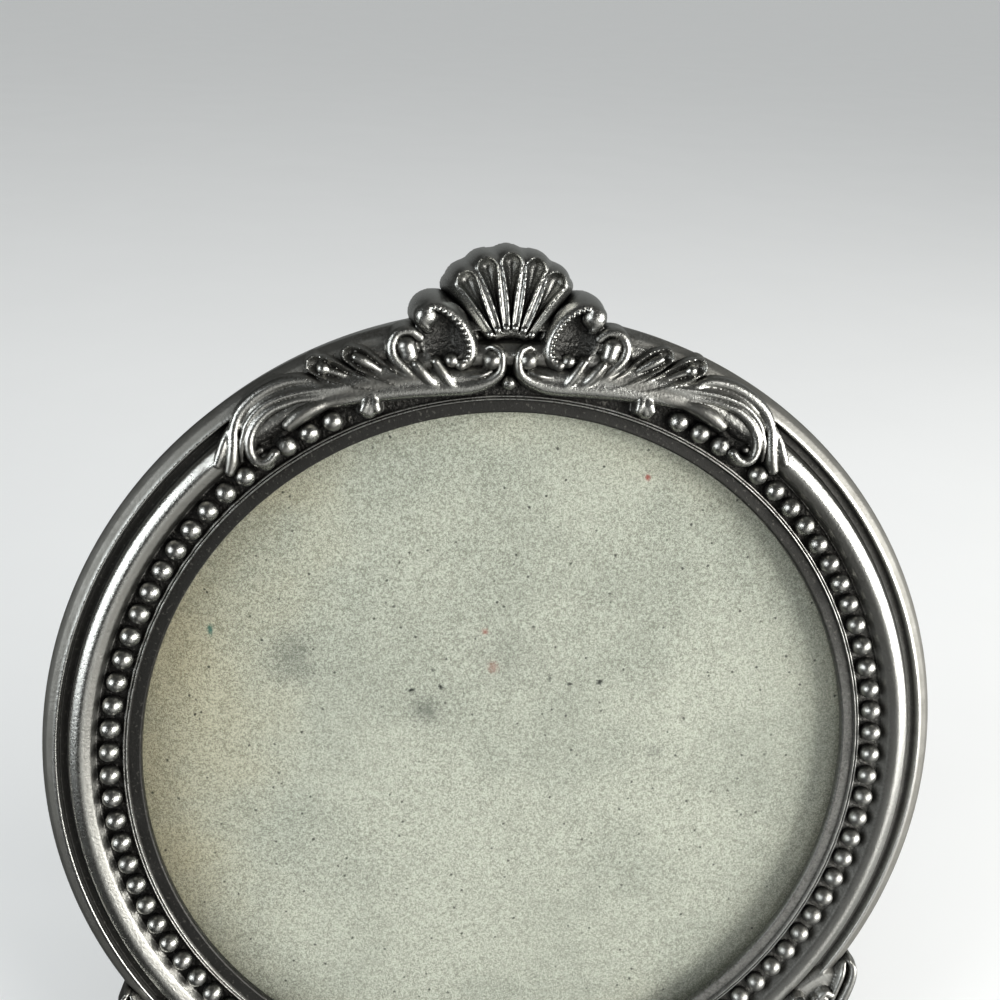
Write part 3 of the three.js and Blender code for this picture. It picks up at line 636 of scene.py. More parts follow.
bead_shapes = []
for index in range(BEAD_COUNT):
    place_from_top = min(index, BEAD_COUNT - index)
    if 0 < place_from_top <= COVERED_BEADS or index == HIDDEN_BEAD:
        continue
    angle = 2 * math.pi * index / BEAD_COUNT
    spot = (BEAD_CIRCLE * math.sin(angle), 0, BEAD_CIRCLE * math.cos(angle))
    radius = TOP_BEAD_RADIUS if index == 0 else BEAD_RADIUS
    bead_shapes.append(ball(spot, (radius, radius, radius)))
combine(casting, gather("beads", bead_shapes), "UNION")
print("beads:", len(bead_shapes))

# %% [markdown]
# ## Carving a relief
# A cast ornament must come out of its mould, so it has no undercuts: it is a landscape of heights over a
# plane. That makes it easy to carve in code. Each scroll or leaf is a stroke, a smooth line with a width
# and a height along it, and strokes melt into each other by a soft maximum, as in soft wax.

# %% Lines and profiles
LINE_STEPS = 8


def smooth_line(points, steps=LINE_STEPS):
    """A Catmull-Rom curve through rows of numbers."""
    points = np.asarray(points, float)
    if len(points) == 2:
        share = np.linspace(0, 1, steps + 1)[:, None]
        return points[0] + share * (points[1] - points[0])
    ends = np.vstack([2 * points[0] - points[1], points, 2 * points[-1] - points[-2]])
    line = []
    for a, b, c, d in zip(ends, ends[1:], ends[2:], ends[3:]):
        for t in np.linspace(0, 1, steps, endpoint=False):
            bend = 2 * b + (c - a) * t + (2 * a - 5 * b + 4 * c - d) * t ** 2
            line.append((bend + (3 * b - a - 3 * c + d) * t ** 3) / 2)
    return np.vstack([line, points[-1]])


def round_back(share):
    """A full rounded top: 1 in the middle, 0 at the edge."""
    return np.sqrt(np.clip(1 - share ** 2, 0, 1))


def spoon(share):
    """A leaf with a raised rim and a sunk middle."""
    rim = 0.76
    dish = 0.25 + 0.75 * np.clip(share / rim, 0, 1) ** 2.2
    edge = round_back(np.clip((share - rim) / (1 - rim), 0, 1))
    return np.where(share < rim, dish, edge)


print("a line through 3 points gets", len(smooth_line([(0, 0), (1, 1), (2, 0)])), "points")

# %% [markdown]
# ## Under the ornament
# The ornament is cast in one with the moulding, so its landscape starts from the front of the moulding. It
# starts a hair below, so that the plain moulding comes through wherever nothing was carved.

# %% Surface of the ring under the ornament
SEAT_SINK = 0.03  # how far below the moulding the landscape starts
SEAT_REACH = 0.16  # it takes the lowest point within this reach
SEAT_OUTER = 55.9
SINK_INNER = 47.2
FRONT_CORNERS = 17  # corners of the section that face forwards
front_outline = section[: FRONT_CORNERS * CORNER_STEPS]


def ring_seat(x, z, floor, inner):
    """Just under the front of the moulding, or the floor where there is no moulding."""
    radius = np.hypot(x, z)
    around = [radius + shift for shift in (-SEAT_REACH, 0, SEAT_REACH)]
    heights = [np.interp(some, front_outline[:, 0], -front_outline[:, 1]) for some in around]
    on_ring = (radius > inner) & (radius < SEAT_OUTER)
    return np.where(on_ring, np.min(heights, axis=0) - SEAT_SINK, floor)


print("the moulding is", -front_outline[:, 1].min(), "mm high in front of the bead centres")

# %% [markdown]
# ## A landscape of heights
# A landscape holds one height for each point of a grid. It can be raised or scooped by a soft maximum or
# minimum, and it can say how far each point lies from a line. A sculpted mesh could look the same, but here
# every leaf stays a short list of numbers that is easy to move.

# %% Landscape
SOFTNESS = 0.16
SKIRT_SLOPE = 4.5  # how fast a stroke falls off beyond its edge
NOWHERE = -8.0  # a height far behind the ring, where nothing is carved


class Landscape:
    """Heights in front of the bead centres, over a grid of points of the frame's plane, in millimetres."""

    def __init__(self, x, z, floor, seat_inner=None, skirt=SKIRT_SLOPE):
        self.x, self.z = x, z
        self.floor = floor
        self.skirt = skirt
        self.heights = np.full(x.shape, float(floor))
        if seat_inner:
            self.heights = ring_seat(x, z, floor, seat_inner)

    def raise_to(self, where, heights, softness):
        """Melts heights into the landscape by a soft maximum."""
        here = self.heights[where]
        near = np.clip(softness - np.abs(here - heights), 0, None)
        self.heights[where] = np.maximum(here, heights) + near ** 2 / (4 * softness)

    def lower_to(self, where, heights, softness):
        """Scoops the landscape down to heights by a soft minimum."""
        here = self.heights[where]
        near = np.clip(softness - np.abs(here - heights), 0, None)
        self.heights[where] = np.minimum(here, heights) - near ** 2 / (4 * softness)

    def near(self, line, reach):
        """Which points lie in the box round a line."""
        low, high = line[:, :2].min(axis=0) - reach, line[:, :2].max(axis=0) + reach
        return (self.x > low[0]) & (self.x < high[0]) & (self.z > low[1]) & (self.z < high[1])

    def along(self, line, where):
        """Distance to a line of (x, z, ...), its side, and its other numbers at the nearest point."""
        x, z = self.x[where], self.z[where]
        nearest = np.full(x.shape, np.inf)
        side = np.ones(x.shape)
        values = np.zeros(x.shape + (line.shape[1] - 2,))
        for start, end in zip(line, line[1:]):
            step = end[:2] - start[:2]
            from_x, from_z = x - start[0], z - start[1]
            share = np.clip((from_x * step[0] + from_z * step[1]) / max(step @ step, 1e-9), 0, 1)
            distance = np.hypot(from_x - share * step[0], from_z - share * step[1])
            closer = distance < nearest
            nearest = np.where(closer, distance, nearest)
            side = np.where(closer, np.sign(step[0] * from_z - step[1] * from_x), side)
            found = start[2:] + share[..., None] * (end[2:] - start[2:])
            values = np.where(closer[..., None], found, values)
        return nearest, side, values


def grid(x_range, z_range, pitch):
    x = np.arange(x_range[0], x_range[1] + pitch / 2, pitch)
    z = np.arange(z_range[0], z_range[1] + pitch / 2, pitch)
    return np.meshgrid(x, z, indexing="ij")


print("a grid over 2 by 1 mm has", Landscape(*grid((0, 2), (0, 1), 0.5), NOWHERE).x.size, "points")

# %% [markdown]
# ## Strokes
# A stroke is a scroll, stem or leaf with a rounded or spoon-shaped top. A rolled edge is a band that falls
# off differently on its two sides, a dome is a ball sunk in the ground, and a bowl is a hollow. With these
# four every ornament of the frame is carved.

# %% Relief
STROKE_REACH = 2.0  # how far beyond its edge a stroke is worked out
LEAST_HALF = 0.05
ABOVE_ALL = 9.0  # a height above everything, where a bowl scoops nothing


class Relief(Landscape):
    """A landscape that is carved by strokes."""

    def stroke(self, points, foot=None, profile=round_back, softness=SOFTNESS):
        """A scroll or leaf along points of (x, z, half width, top).

        It is as high as half its width, or stands on a foot."""
        line = smooth_line(points)
        where = self.near(line, line[:, 2].max() + STROKE_REACH)
        distance, side, values = self.along(line, where)
        half, top = np.clip(values[..., 0], LEAST_HALF, None), values[..., 1]
        foot = top - half if foot is None else foot
        heights = foot + (top - foot) * profile(distance / half)
        heights = np.where(distance < half, heights, foot - self.skirt * (distance - half))
        self.raise_to(where, heights, softness)

    def rolled_edge(self, points, inner_foot, softness=SOFTNESS):
        """A band that rolls off to its left and drops steeply to its right.

        Each point is (x, z, outer half, inner half, top, outer foot)."""
        line = smooth_line(points)
        where = self.near(line, line[:, 2].max() + STROKE_REACH)
        distance, side, values = self.along(line, where)
        outer, inner, top, outer_foot = (values[..., column] for column in range(4))
        half = np.where(side > 0, outer, inner)
        foot = np.where(side > 0, outer_foot, inner_foot)
        heights = foot + (top - foot) * round_back(distance / half)
        heights = np.where(distance < half, heights, foot - self.skirt * (distance - half))
        self.raise_to(where, heights, softness)

    def dome(self, x, z, radius, top, foot=None, softness=SOFTNESS):
        self.stroke([(x, z, radius, top), (x, z + 0.01, radius, top)], foot, softness=softness)

    def bowl(self, x, z, radii, floor, rim, softness=0.3):
        """A hollow with the depth of its floor in the middle and of its rim at the edge."""
        where = (np.abs(self.x - x) < radii[0]) & (np.abs(self.z - z) < radii[1])
        share = np.hypot((self.x[where] - x) / radii[0], (self.z[where] - z) / radii[1])
        self.lower_to(where, np.where(share < 1, floor + (rim - floor) * share ** 2, ABOVE_ALL), softness)


print("strokes:", [name for name in vars(Relief) if not name.startswith("_")])

# %% [markdown]
# ## From landscape to solid
# A landscape has only a front. To join it to the ring it needs a back and walls: flat where it stands free,
# and sunk into the metal where it lies on the ring. Half of each ornament is carved, and the other half is
# its mirror image.

# %% Copies of a relief
def copied(relief, x, z, heights):
    """The relief over another grid."""
    other = Relief(x, z, relief.floor)
    other.heights = heights
    return other


def both_sides(relief):
    """The same relief on both sides of the middle, from its right half."""
    parts = ((-1, relief.x), (1, relief.z), (1, relief.heights))
    return copied(relief, *(np.concatenate([sign * part[:0:-1], part]) for sign, part in parts))


def on_the_left(relief):
    return copied(relief, -relief.x[::-1], relief.z[::-1], relief.heights[::-1])


print("a mirrored grid of 3 columns has", len(both_sides(Relief(*grid((0, 2), (0, 1), 1), 0)).x), "columns")


# %% Closed mesh of a relief
REAR_SPARE = 2.0  # the raw back lies this far behind the flat it is cut to
FRONT_SPARE = 1.0  # and the lowest heights this far behind it
LEAST_THICKNESS = 0.1
SINK_MARGIN = 0.2
CUTTER_FRONT = -20


def block(name, low, high, to_scene=world):
    corners = [(x, y, z) for x in (low[0], high[0]) for y in (low[1], high[1]) for z in (low[2], high[2])]
    faces = [(0, 1, 3, 2), (4, 6, 7, 5), (0, 4, 5, 1), (2, 3, 7, 6), (0, 2, 6, 4), (1, 5, 7, 3)]
    return mesh_object(name, corners, faces, to_scene)


def closed_faces(columns, rows):
    """Faces of a front grid, a back grid and the walls between them."""
    index = np.arange(columns * rows).reshape(columns, rows)
    a, b, c, d = index[:-1, :-1], index[1:, :-1], index[1:, 1:], index[:-1, 1:]
    quads = np.stack([a, b, c, d], axis=-1).reshape(-1, 4)
    loop = np.concatenate([index[:, 0], index[-1, 1:], index[-2::-1, -1], index[0, -2:0:-1]])
    after, count = np.roll(loop, -1), columns * rows
    walls = np.stack([loop, loop + count, after + count, after], axis=-1)
    return np.concatenate([quads, quads[:, ::-1] + count, walls]).tolist()


def relief_solid(name, relief, back, ring_back):
    """A closed mesh: flat at the depth called back, and sunk into the ring where it lies on it."""
    x, z = relief.x, relief.z
    radius = np.hypot(x, z)
    on_ring = (radius > SINK_INNER) & (radius < SEAT_OUTER - SINK_MARGIN)
    front = np.stack([x, -np.maximum(relief.heights, -back - FRONT_SPARE), z], axis=-1)
    rear = np.stack([x, np.where(on_ring, ring_back, back + REAR_SPARE), z], axis=-1)
    front[..., 1] = np.minimum(front[..., 1], rear[..., 1] - LEAST_THICKNESS)
    points = np.concatenate([front.reshape(-1, 3), rear.reshape(-1, 3)])
    made = mesh_object(name, points, closed_faces(*x.shape))
    low, high = (x.min() - 1, CUTTER_FRONT, z.min() - 1), (x.max() + 1, back, z.max() + 1)
    combine(made, block("keep", low, high), "INTERSECT")
    print(name, len(made.data.polygons), "faces")
    return made


print("a closed grid of 3 by 3 points has", len(closed_faces(3, 3)), "faces")

# %% [markdown]
# ## Shell of the crest
# The shell has five hollow flutes, each with a thin raised border, and a rounded rim that rolls to the
# back. A plain grid would cut the slanting borders into steps. This one fans out from the point where the
# flutes would meet, so the borders run along its lines and stay crisp.

# %% Fan of the shell
SHELL_ROOT = 50.3  # height of the point where the flutes would meet
FAN = (0, 52, 0.5)  # first and last angle, and the step
REACHES = (3.0, 14.8, 0.13)  # first and last distance from the root, and the step
CREST_BACK = 6.0
RING_SINK = 3.0  # how deep the ornament runs into the ring

fan, reach = np.meshgrid(np.radians(np.arange(*FAN)), np.arange(*REACHES), indexing="ij")
shell = Relief(reach * np.sin(fan), SHELL_ROOT + reach * np.cos(fan), NOWHERE)
everywhere = np.ones(shell.x.shape, bool)
from_root = np.hypot(shell.x, shell.z - SHELL_ROOT)
shell_face = 0.95 + 0.6 * np.sin(np.clip((from_root - 3.0) / 10.5, 0, 1) * math.pi)
print("shell grid:", shell.x.shape, "and its face is", round(shell_face.max(), 2), "mm high")

# %% Lines of the flutes
# angle, and reach of the arch from the root
FLUTES = ((-14.3, 12.3), (0.0, 12.5), (14.3, 12.3), (28.6, 11.75))
FLUTE_START = 3.7
FLUTE_SHARES = (0, 0.45, 0.78, 1)  # shares of its length, with the half width of a flute there
FLUTE_HALVES = (0.15, 0.46, 0.84, 1.18)


def flute_line(angle, end):
    """Middle line of a flute: x, z, half width and distance from the root."""
    way = np.array([math.sin(math.radians(angle)), math.cos(math.radians(angle))])
    rows = []
    for share, half in zip(FLUTE_SHARES, FLUTE_HALVES):
        place = FLUTE_START + share * (end - FLUTE_HALVES[-1] - FLUTE_START)
        rows.append((way[0] * place, SHELL_ROOT + way[1] * place, half, place))
    return smooth_line(rows)


flutes = []
for angle, end in FLUTES:
    distance, side, values = shell.along(flute_line(angle, end), everywhere)
    half, along = (values[..., column].reshape(shell.x.shape) for column in range(2))
    flutes.append((distance.reshape(shell.x.shape), half, along))
print("flutes worked out for the right half:", len(flutes))

# %% Flank and rim of the shell
FLANK_ANGLE = math.radians(36)
FLANK_REACHES = (4.5, 10.9)
FLANK_HALF = 1.5
FLANK_DROP = 0.25
RIM_WIDTH = 1.2
RIM_BLEND = 3.2  # how sharply one scallop of the rim gives way to the next

flank = [(math.sin(FLANK_ANGLE) * place, SHELL_ROOT + math.cos(FLANK_ANGLE) * place, 0.0)
         for place in FLANK_REACHES]
distance = shell.along(np.array(flank), everywhere)[0]
roll = round_back(distance / FLANK_HALF)
flank_heights = shell_face.ravel() - FLANK_DROP - (CREST_BACK + 2.0) * (1 - roll)
flank_heights = flank_heights - SKIRT_SLOPE * np.clip(distance - FLANK_HALF, 0, None)
shell.raise_to(everywhere, flank_heights, 0.3)
nearness = sum(np.exp(-RIM_BLEND * (distance - half)) for distance, half, along in flutes)
beyond = np.clip(-np.log(nearness) / RIM_BLEND, 0, None)
roll = round_back(beyond / RIM_WIDTH)
rim_heights = shell_face - (shell_face + CREST_BACK + 1.0) * (1 - roll)
rim_heights = rim_heights - SKIRT_SLOPE * np.clip(beyond - RIM_WIDTH, 0, None)
shell.raise_to(everywhere, rim_heights.ravel(), 0.9)
print("shell body up to", round(shell.heights.max(), 2), "mm")

# %% Scoops, borders and pearls of the shell
BORDER_HALF = 0.24
BORDER_RISE = 0.2
PEARL_ANGLES = (7.15, 21.45, 35.75)  # a pearl closes each pair of borders
PEARL_REACH, PEARL_RADIUS, PEARL_TOP = 4.1, 0.42, 1.65

for distance, half, along in flutes:
    share = np.clip(distance / half, 0, 1)
    scoop = shell_face - (0.15 + 0.095 * along) * (1 - share ** 2.2)
    shell.heights = np.where(distance < half, np.minimum(shell.heights, scoop), shell.heights)
for distance, half, along in flutes:
    ridge = shell_face + BORDER_RISE - 0.6 * ((distance - half) / BORDER_HALF) ** 2
    near_border = np.abs(distance - half) < 1.6 * BORDER_HALF
    shell.heights = np.where(near_border, np.maximum(shell.heights, ridge), shell.heights)
for angle in map(math.radians, PEARL_ANGLES):
    x, z = PEARL_REACH * math.sin(angle), SHELL_ROOT + PEARL_REACH * math.cos(angle)
    shell.dome(x, z, PEARL_RADIUS, PEARL_TOP, softness=0.15)
combine(casting, relief_solid("shell", both_sides(shell), CREST_BACK, RING_SINK), "UNION")

# %% [markdown]
# ## Scrolls beside the shell
# Each scroll is a band that rolls off to the back on its outside and drops into a stippled hollow on its
# inside. It starts in a small curl beside the volute, climbs along the shell and ends in a fat bulb. A
# curve with a bevel would give the band but not the hollow, so it is carved as a rolled edge.

# %% Line of the scroll
# x, z, outer half width, inner half width, top, height of the outer foot
SCROLL_EDGE = [
    (6.9, 50.9, 0.6, 0.45, 1.5, 0.2), (6.2, 50.3, 0.7, 0.5, 1.6, 0.2), (5.2, 50.3, 0.8, 0.55, 1.7, 0.0),
    (4.6, 51.2, 0.9, 0.6, 1.8, 0.0), (4.6, 52.5, 1.0, 0.65, 1.85, -0.5), (5.1, 53.9, 1.2, 0.7, 1.9, -2.5),
    (6.0, 55.2, 1.6, 0.75, 1.95, -5.0), (7.3, 56.3, 1.8, 0.8, 2.0, -6.5), (8.6, 56.8, 1.8, 0.85, 2.0, -6.5),
    (9.7, 56.5, 1.75, 0.9, 2.0, -6.5), (10.3, 55.7, 1.45, 0.9, 1.95, -6.5),
    (10.2, 54.9, 1.0, 0.7, 1.9, -3.0), (9.5, 54.4, 0.9, 0.5, 1.75, -0.5),
]
BOWL = (7.6, 53.7, (3.0, 3.3), -0.35, 0.95)  # x, z, half widths, floor, rim
NICK_SPACING = 0.72
NICK_INSET = 0.3
NICKED_STEPS = slice(18, 72)  # part of the band whose inner edge is nicked


def nick_places(band, inset, spacing):
    """Points beside the inner edge of a band, evenly spaced."""
    line = smooth_line(band)[NICKED_STEPS]
    steps = np.hypot(*np.diff(line[:, :2], axis=0).T)
    lengths = np.concatenate([[0], np.cumsum(steps)])
    for length in np.arange(0, lengths[-1], spacing):
        x, z, top = (np.interp(length, lengths, line[:, column]) for column in (0, 1, 4))
        ahead = [np.interp(length + 0.1, lengths, line[:, column]) for column in (0, 1)]
        way = np.array([ahead[0] - x, ahead[1] - z])
        way = way / max(np.linalg.norm(way), 1e-6)
        yield x + way[1] * inset, z - way[0] * inset, top


nicks = list(nick_places(SCROLL_EDGE, NICK_INSET, NICK_SPACING))
print("nicks on each scroll:", len(nicks))

# %% Scrolls
HOLLOW_RADII = (3.0, 2.6, 3.4)
HOLLOW_DEPTH = -1.9
STEEP_SKIRT = 30.0  # a scroll stands free of the ring, so its sides fall off steeply
NICK_RADIUS, NICK_RISE = 0.42, 0.15
# x, z, radius, top and softness of the bulb and of the two balls of the curl
SCROLL_BALLS = [(9.75, 55.65, 1.45, 2.25, 0.4), (6.8, 50.6, 0.8, 1.95, 0.2), (5.7, 50.1, 0.65, 1.85, 0.2)]

hollows = [ball((side * BOWL[0], HOLLOW_DEPTH, BOWL[1]), HOLLOW_RADII, 36) for side in (-1, 1)]
combine(casting, gather("hollows", hollows), "DIFFERENCE")
scroll = Relief(*grid((2.4, 13.2), (48.6, 60.4), 0.11), NOWHERE, SINK_INNER, STEEP_SKIRT)
scroll.stroke([(7.4, 53.0, 3.1, 1.0), (7.8, 54.3, 3.1, 1.0)], foot=0.7, softness=0.3)
scroll.bowl(*BOWL)
scroll.rolled_edge(SCROLL_EDGE, inner_foot=-0.6, softness=0.25)
for x, z, radius, top, softness in SCROLL_BALLS:
    scroll.dome(x, z, radius, top, softness=softness)
for x, z, top in nicks:
    scroll.dome(x, z, NICK_RADIUS, top + NICK_RISE, foot=0.9, softness=0.06)
for side in (scroll, on_the_left(scroll)):
    combine(casting, relief_solid("scroll", side, CREST_BACK, RING_SINK), "UNION")

# %% [markdown]
# ## Leaf sprays
# From the volutes at the middle a stem runs out on each side over the channel, with finger leaves, a
# curled leaf, two spoon-shaped lobes and a scroll at its end. They could be sculpted, but as strokes each
# is only a row of points: right, up, half width, height. They melt into the moulding under them.

# %% Ground, stem and rims of a spray
FILLING = [
    (4.5, 53.4, 1.2, 0.6), (10, 52.6, 1.7, 0.7), (15, 51.3, 1.7, 0.7), (20, 49.6, 1.6, 0.7),
    (25, 47.4, 1.0, 0.5),
]
SHEET = [
    (2.1, 49.4, 0.9, 0.9), (5.0, 48.7, 1.5, 1.2), (10, 48.5, 1.9, 1.3), (15, 48.0, 2.0, 1.35),
    (20, 47.4, 1.9, 1.4), (24.5, 46.8, 1.6, 1.4), (28.4, 45.4, 1.2, 1.4), (30.4, 42.8, 1.0, 1.4),
]
STEM = [
    (3.0, 51.8, 0.25, 0.8), (2.1, 52.15, 0.38, 1.45), (1.15, 51.6, 0.45, 1.75), (0.95, 50.3, 0.45, 1.8),
    (1.3, 49.1, 0.55, 1.7), (2.6, 48.2, 0.75, 1.5), (4.8, 47.6, 1.0, 1.35), (8.5, 47.4, 1.1, 1.3),
    (12.5, 47.1, 1.1, 1.3), (16.8, 46.6, 1.1, 1.3), (20.2, 46.0, 1.0, 1.3), (22.5, 45.5, 0.8, 1.1),
]
SIDE_LEAF = [
    (19.8, 46.0, 0.5, 0.9), (22.4, 45.1, 0.85, 1.65), (24.2, 44.1, 0.95, 1.85), (25.4, 43.1, 0.7, 1.75),
]
OUTER_RIM = [
    (21.8, 47.6, 0.5, 1.3), (23.6, 48.3, 0.65, 1.4), (26.2, 47.9, 0.7, 1.45), (28.7, 46.6, 0.7, 1.5),
    (30.6, 44.8, 0.7, 1.5), (31.5, 42.8, 0.65, 1.55), (31.7, 40.8, 0.7, 1.6), (31.9, 39.0, 0.75, 1.65),
    (32.2, 37.7, 0.6, 1.5),
]
MIDDLE_RIM = [
    (18.6, 47.6, 0.25, 1.35), (22.0, 47.2, 0.32, 1.5), (25.2, 46.6, 0.34, 1.6), (27.9, 45.5, 0.34, 1.62),
    (29.8, 43.6, 0.34, 1.62), (30.6, 41.4, 0.34, 1.6), (30.75, 39.9, 0.28, 1.35), (30.85, 38.8, 0.2, 0.8),
]
INNER_RIM = [
    (21.6, 46.3, 0.35, 1.2), (24.2, 46.0, 0.42, 1.45), (25.9, 45.5, 0.5, 1.6), (27.2, 44.95, 0.55, 1.7),
    (28.4, 44.0, 0.58, 1.75), (29.3, 42.8, 0.6, 1.8), (29.8, 41.4, 0.6, 1.85), (29.8, 40.1, 0.58, 1.85),
    (29.3, 39.1, 0.55, 1.85), (28.5, 38.75, 0.55, 1.8), (27.6, 39.1, 0.52, 1.8), (27.0, 39.8, 0.48, 1.75),
]
print("main lines of a spray:", len([FILLING, SHEET, STEM, SIDE_LEAF, OUTER_RIM, MIDDLE_RIM, INNER_RIM]))

# %% Leaves of a spray
SPRAY_STROKES = [
    STEM, SIDE_LEAF, OUTER_RIM, MIDDLE_RIM, INNER_RIM,
    # second line round the volute
    [(2.2, 49.4, 0.25, 1.2), (3.4, 48.9, 0.3, 1.5), (5.0, 48.6, 0.25, 1.1)],
    # finger leaves
    [(5.4, 47.5, 0.3, 0.9), (6.7, 47.9, 0.5, 1.45), (7.6, 49.0, 0.65, 1.85), (8.6, 50.5, 0.5, 1.9)],
    [(7.6, 47.5, 0.3, 0.9), (8.9, 48.0, 0.5, 1.45), (9.9, 49.0, 0.7, 1.85), (10.8, 50.1, 0.55, 1.9)],
    # leaf that curls over
    [(10.2, 47.6, 0.4, 0.9), (11.8, 49.3, 0.6, 1.4), (13.2, 50.7, 0.7, 1.55), (13.6, 52.2, 0.7, 1.55),
     (12.9, 53.6, 0.65, 1.5), (11.5, 53.9, 0.6, 1.45), (10.4, 53.2, 0.5, 1.25)],
    [(11.6, 51.2, 1.0, 2.0), (11.9, 52.2, 1.1, 2.05)],
    # bud over the beads
    [(15.8, 46.4, 0.9, 1.2), (16.1, 45.4, 1.25, 1.5), (16.3, 44.8, 1.0, 1.4)],
    [(15.7, 46.5, 0.4, 1.1), (15.5, 45.7, 0.5, 1.5), (15.3, 44.9, 0.45, 1.45)],
    [(16.2, 46.5, 0.4, 1.1), (16.6, 45.6, 0.5, 1.55), (16.9, 44.8, 0.45, 1.5)],
    # second tail
    [(31.6, 43.2, 0.4, 1.1), (32.6, 41.3, 0.55, 1.45), (33.2, 39.6, 0.6, 1.5), (33.6, 38.5, 0.5, 1.35)],
]
LOBES = [
    [(11.4, 47.5, 0.5, 1.1), (13.4, 48.5, 0.85, 1.45), (15.4, 49.7, 1.25, 1.6), (17.1, 50.7, 1.45, 1.65),
     (18.2, 51.2, 1.2, 1.4)],
    [(14.2, 47.2, 0.5, 1.1), (16.6, 47.9, 0.8, 1.45), (19.0, 48.8, 1.2, 1.6), (21.0, 49.6, 1.45, 1.65),
     (22.2, 50.0, 1.25, 1.4)],
]
LOBE_RIBS = [
    [(14.0, 48.8, 0.3, 0.9), (15.6, 49.8, 0.5, 1.45), (16.8, 50.5, 0.65, 1.75), (17.6, 50.9, 0.55, 1.75)],
    [(17.4, 48.2, 0.25, 0.9), (19.6, 49.0, 0.4, 1.35), (21.2, 49.5, 0.5, 1.5)],
]
SPRAY_BALLS = [(2.1, 50.65, 1.1, 2.1), (21.4, 49.6, 0.75, 1.8), (28.7, 40.1, 0.5, 1.1)]
print("strokes:", len(SPRAY_STROKES), "lobes:", len(LOBES), "balls:", len(SPRAY_BALLS))

# %% Carve the sprays
END_BOWL = (27.4, 41.9, (1.9, 2.6), -0.3, 0.8)
END_GROUND = [(28.2, 40.4, 1.6, 0.3), (27.4, 42.6, 2.0, 0.3)]
SPRAY_BACK = 1.2
SPRAY_INNER = 46.7
SPRAY_FLOOR = -4.0

spray = Relief(*grid((0, 36), (35.5, 55.5), 0.13), SPRAY_FLOOR, SPRAY_INNER)
spray.stroke(FILLING, foot=-0.7, softness=0.4)
spray.bowl(*BOWL)
spray.stroke(SHEET, foot=-0.7, softness=0.5)
spray.stroke(END_GROUND, foot=-0.3, softness=0.4)
spray.bowl(*END_BOWL)
for points in LOBES:
    spray.stroke(points, foot=0.45, profile=spoon, softness=0.2)
for points in SPRAY_STROKES:
    spray.stroke(points, softness=0.3)
for points in LOBE_RIBS:
    spray.stroke(points, softness=0.15)
for x, z, radius, top in SPRAY_BALLS:
    spray.dome(x, z, radius, top, softness=0.12)
combine(casting, relief_solid("sprays", both_sides(spray), SPRAY_BACK, SPRAY_BACK + 0.1), "UNION")

# %% [markdown]
# ## Feet
# Only the upper leaves of the feet were seen, so the rest is a plain guess: a scroll swells out of the
# ring, turns into a volute at the toe and stands on a flat. A rounded plate carries the strokes. A steep
# wall makes a ragged landscape, so the plate is carved without walls and then cut straight by its outline.

# %% Outline of a foot
FOOT_OUTLINE = [
    (46.2, -30.4), (47.7, -29.5), (48.7, -30.4), (48.7, -31.8), (47.9, -34.4), (46.9, -37.2), (44.6, -41.5),
    (43.9, -45.0), (44.6, -49.0), (46.2, -52.4), (46.6, -55.2), (45.6, -58.5), (45.4, -63.0), (39.4, -63.0),
    (38.6, -57.5), (36.6, -54.2), (32.6, -51.5), (28.0, -50.3), (23.4, -48.7), (22.9, -46.6), (27.0, -43.0),
    (37.5, -35.0), (43.0, -31.0),
]


def inside(outline, x, z):
    """Which points lie inside a closed outline, by counting crossings."""
    crossings = np.zeros(x.shape, int)
    for start, end in zip(outline, np.roll(outline, -1, axis=0)):
        spans = (start[1] > z) != (end[1] > z)
        if start[1] != end[1]:
            meets = start[0] + (z - start[1]) * (end[0] - start[0]) / (end[1] - start[1])
            crossings += spans & (x < meets)
    return crossings % 2 == 1


def prism(name, outline, front, back):
    """A straight block with an outline of (x, z) points."""
    count = len(outline)
    points = [(x, depth, z) for depth in (front, back) for x, z in outline]
    faces = [tuple(range(count)), tuple(range(2 * count - 1, count - 1, -1))]
    faces += [(k, (k + 1) % count, (k + 1) % count + count, k + count) for k in range(count)]
    return mesh_object(name, points, faces)


outline = smooth_line(FOOT_OUTLINE + FOOT_OUTLINE[:1], 6)
print("outline of a foot:", len(outline) - 1, "points")

# %% Plate of a foot
PLATE_TOP = 0.7
PLATE_DROP = 3.0  # how far the plate falls off at its edge
PLATE_ROUND = 1.6  # over this width

foot = Relief(*grid((21.0, 49.5), (-63.5, -26.0), 0.13), NOWHERE, SINK_INNER)
whole_foot = np.ones(foot.x.shape, bool)
edge_distance = foot.along(outline, whole_foot)[0]
within = inside(outline[:-1], foot.x[whole_foot], foot.z[whole_foot])
depth_in = np.clip(edge_distance / PLATE_ROUND, 0, 1)
plate_heights = PLATE_TOP - PLATE_DROP * (1 - np.sqrt(1 - (1 - depth_in) ** 2))
plate_heights = np.where(within, plate_heights, PLATE_TOP - PLATE_DROP)
foot.raise_to(whole_foot, plate_heights, 0.3)
print("plate of a foot:", int(within.sum()), "of", within.size, "points")

# %% [markdown]
# ## Leaves of the feet
# The same strokes as on the crest draw the foot: two scrolls that meet in the volute of the toe, a row of
# spoon-shaped leaves under the ring, and thin veins between them. The left foot is the right one mirrored.

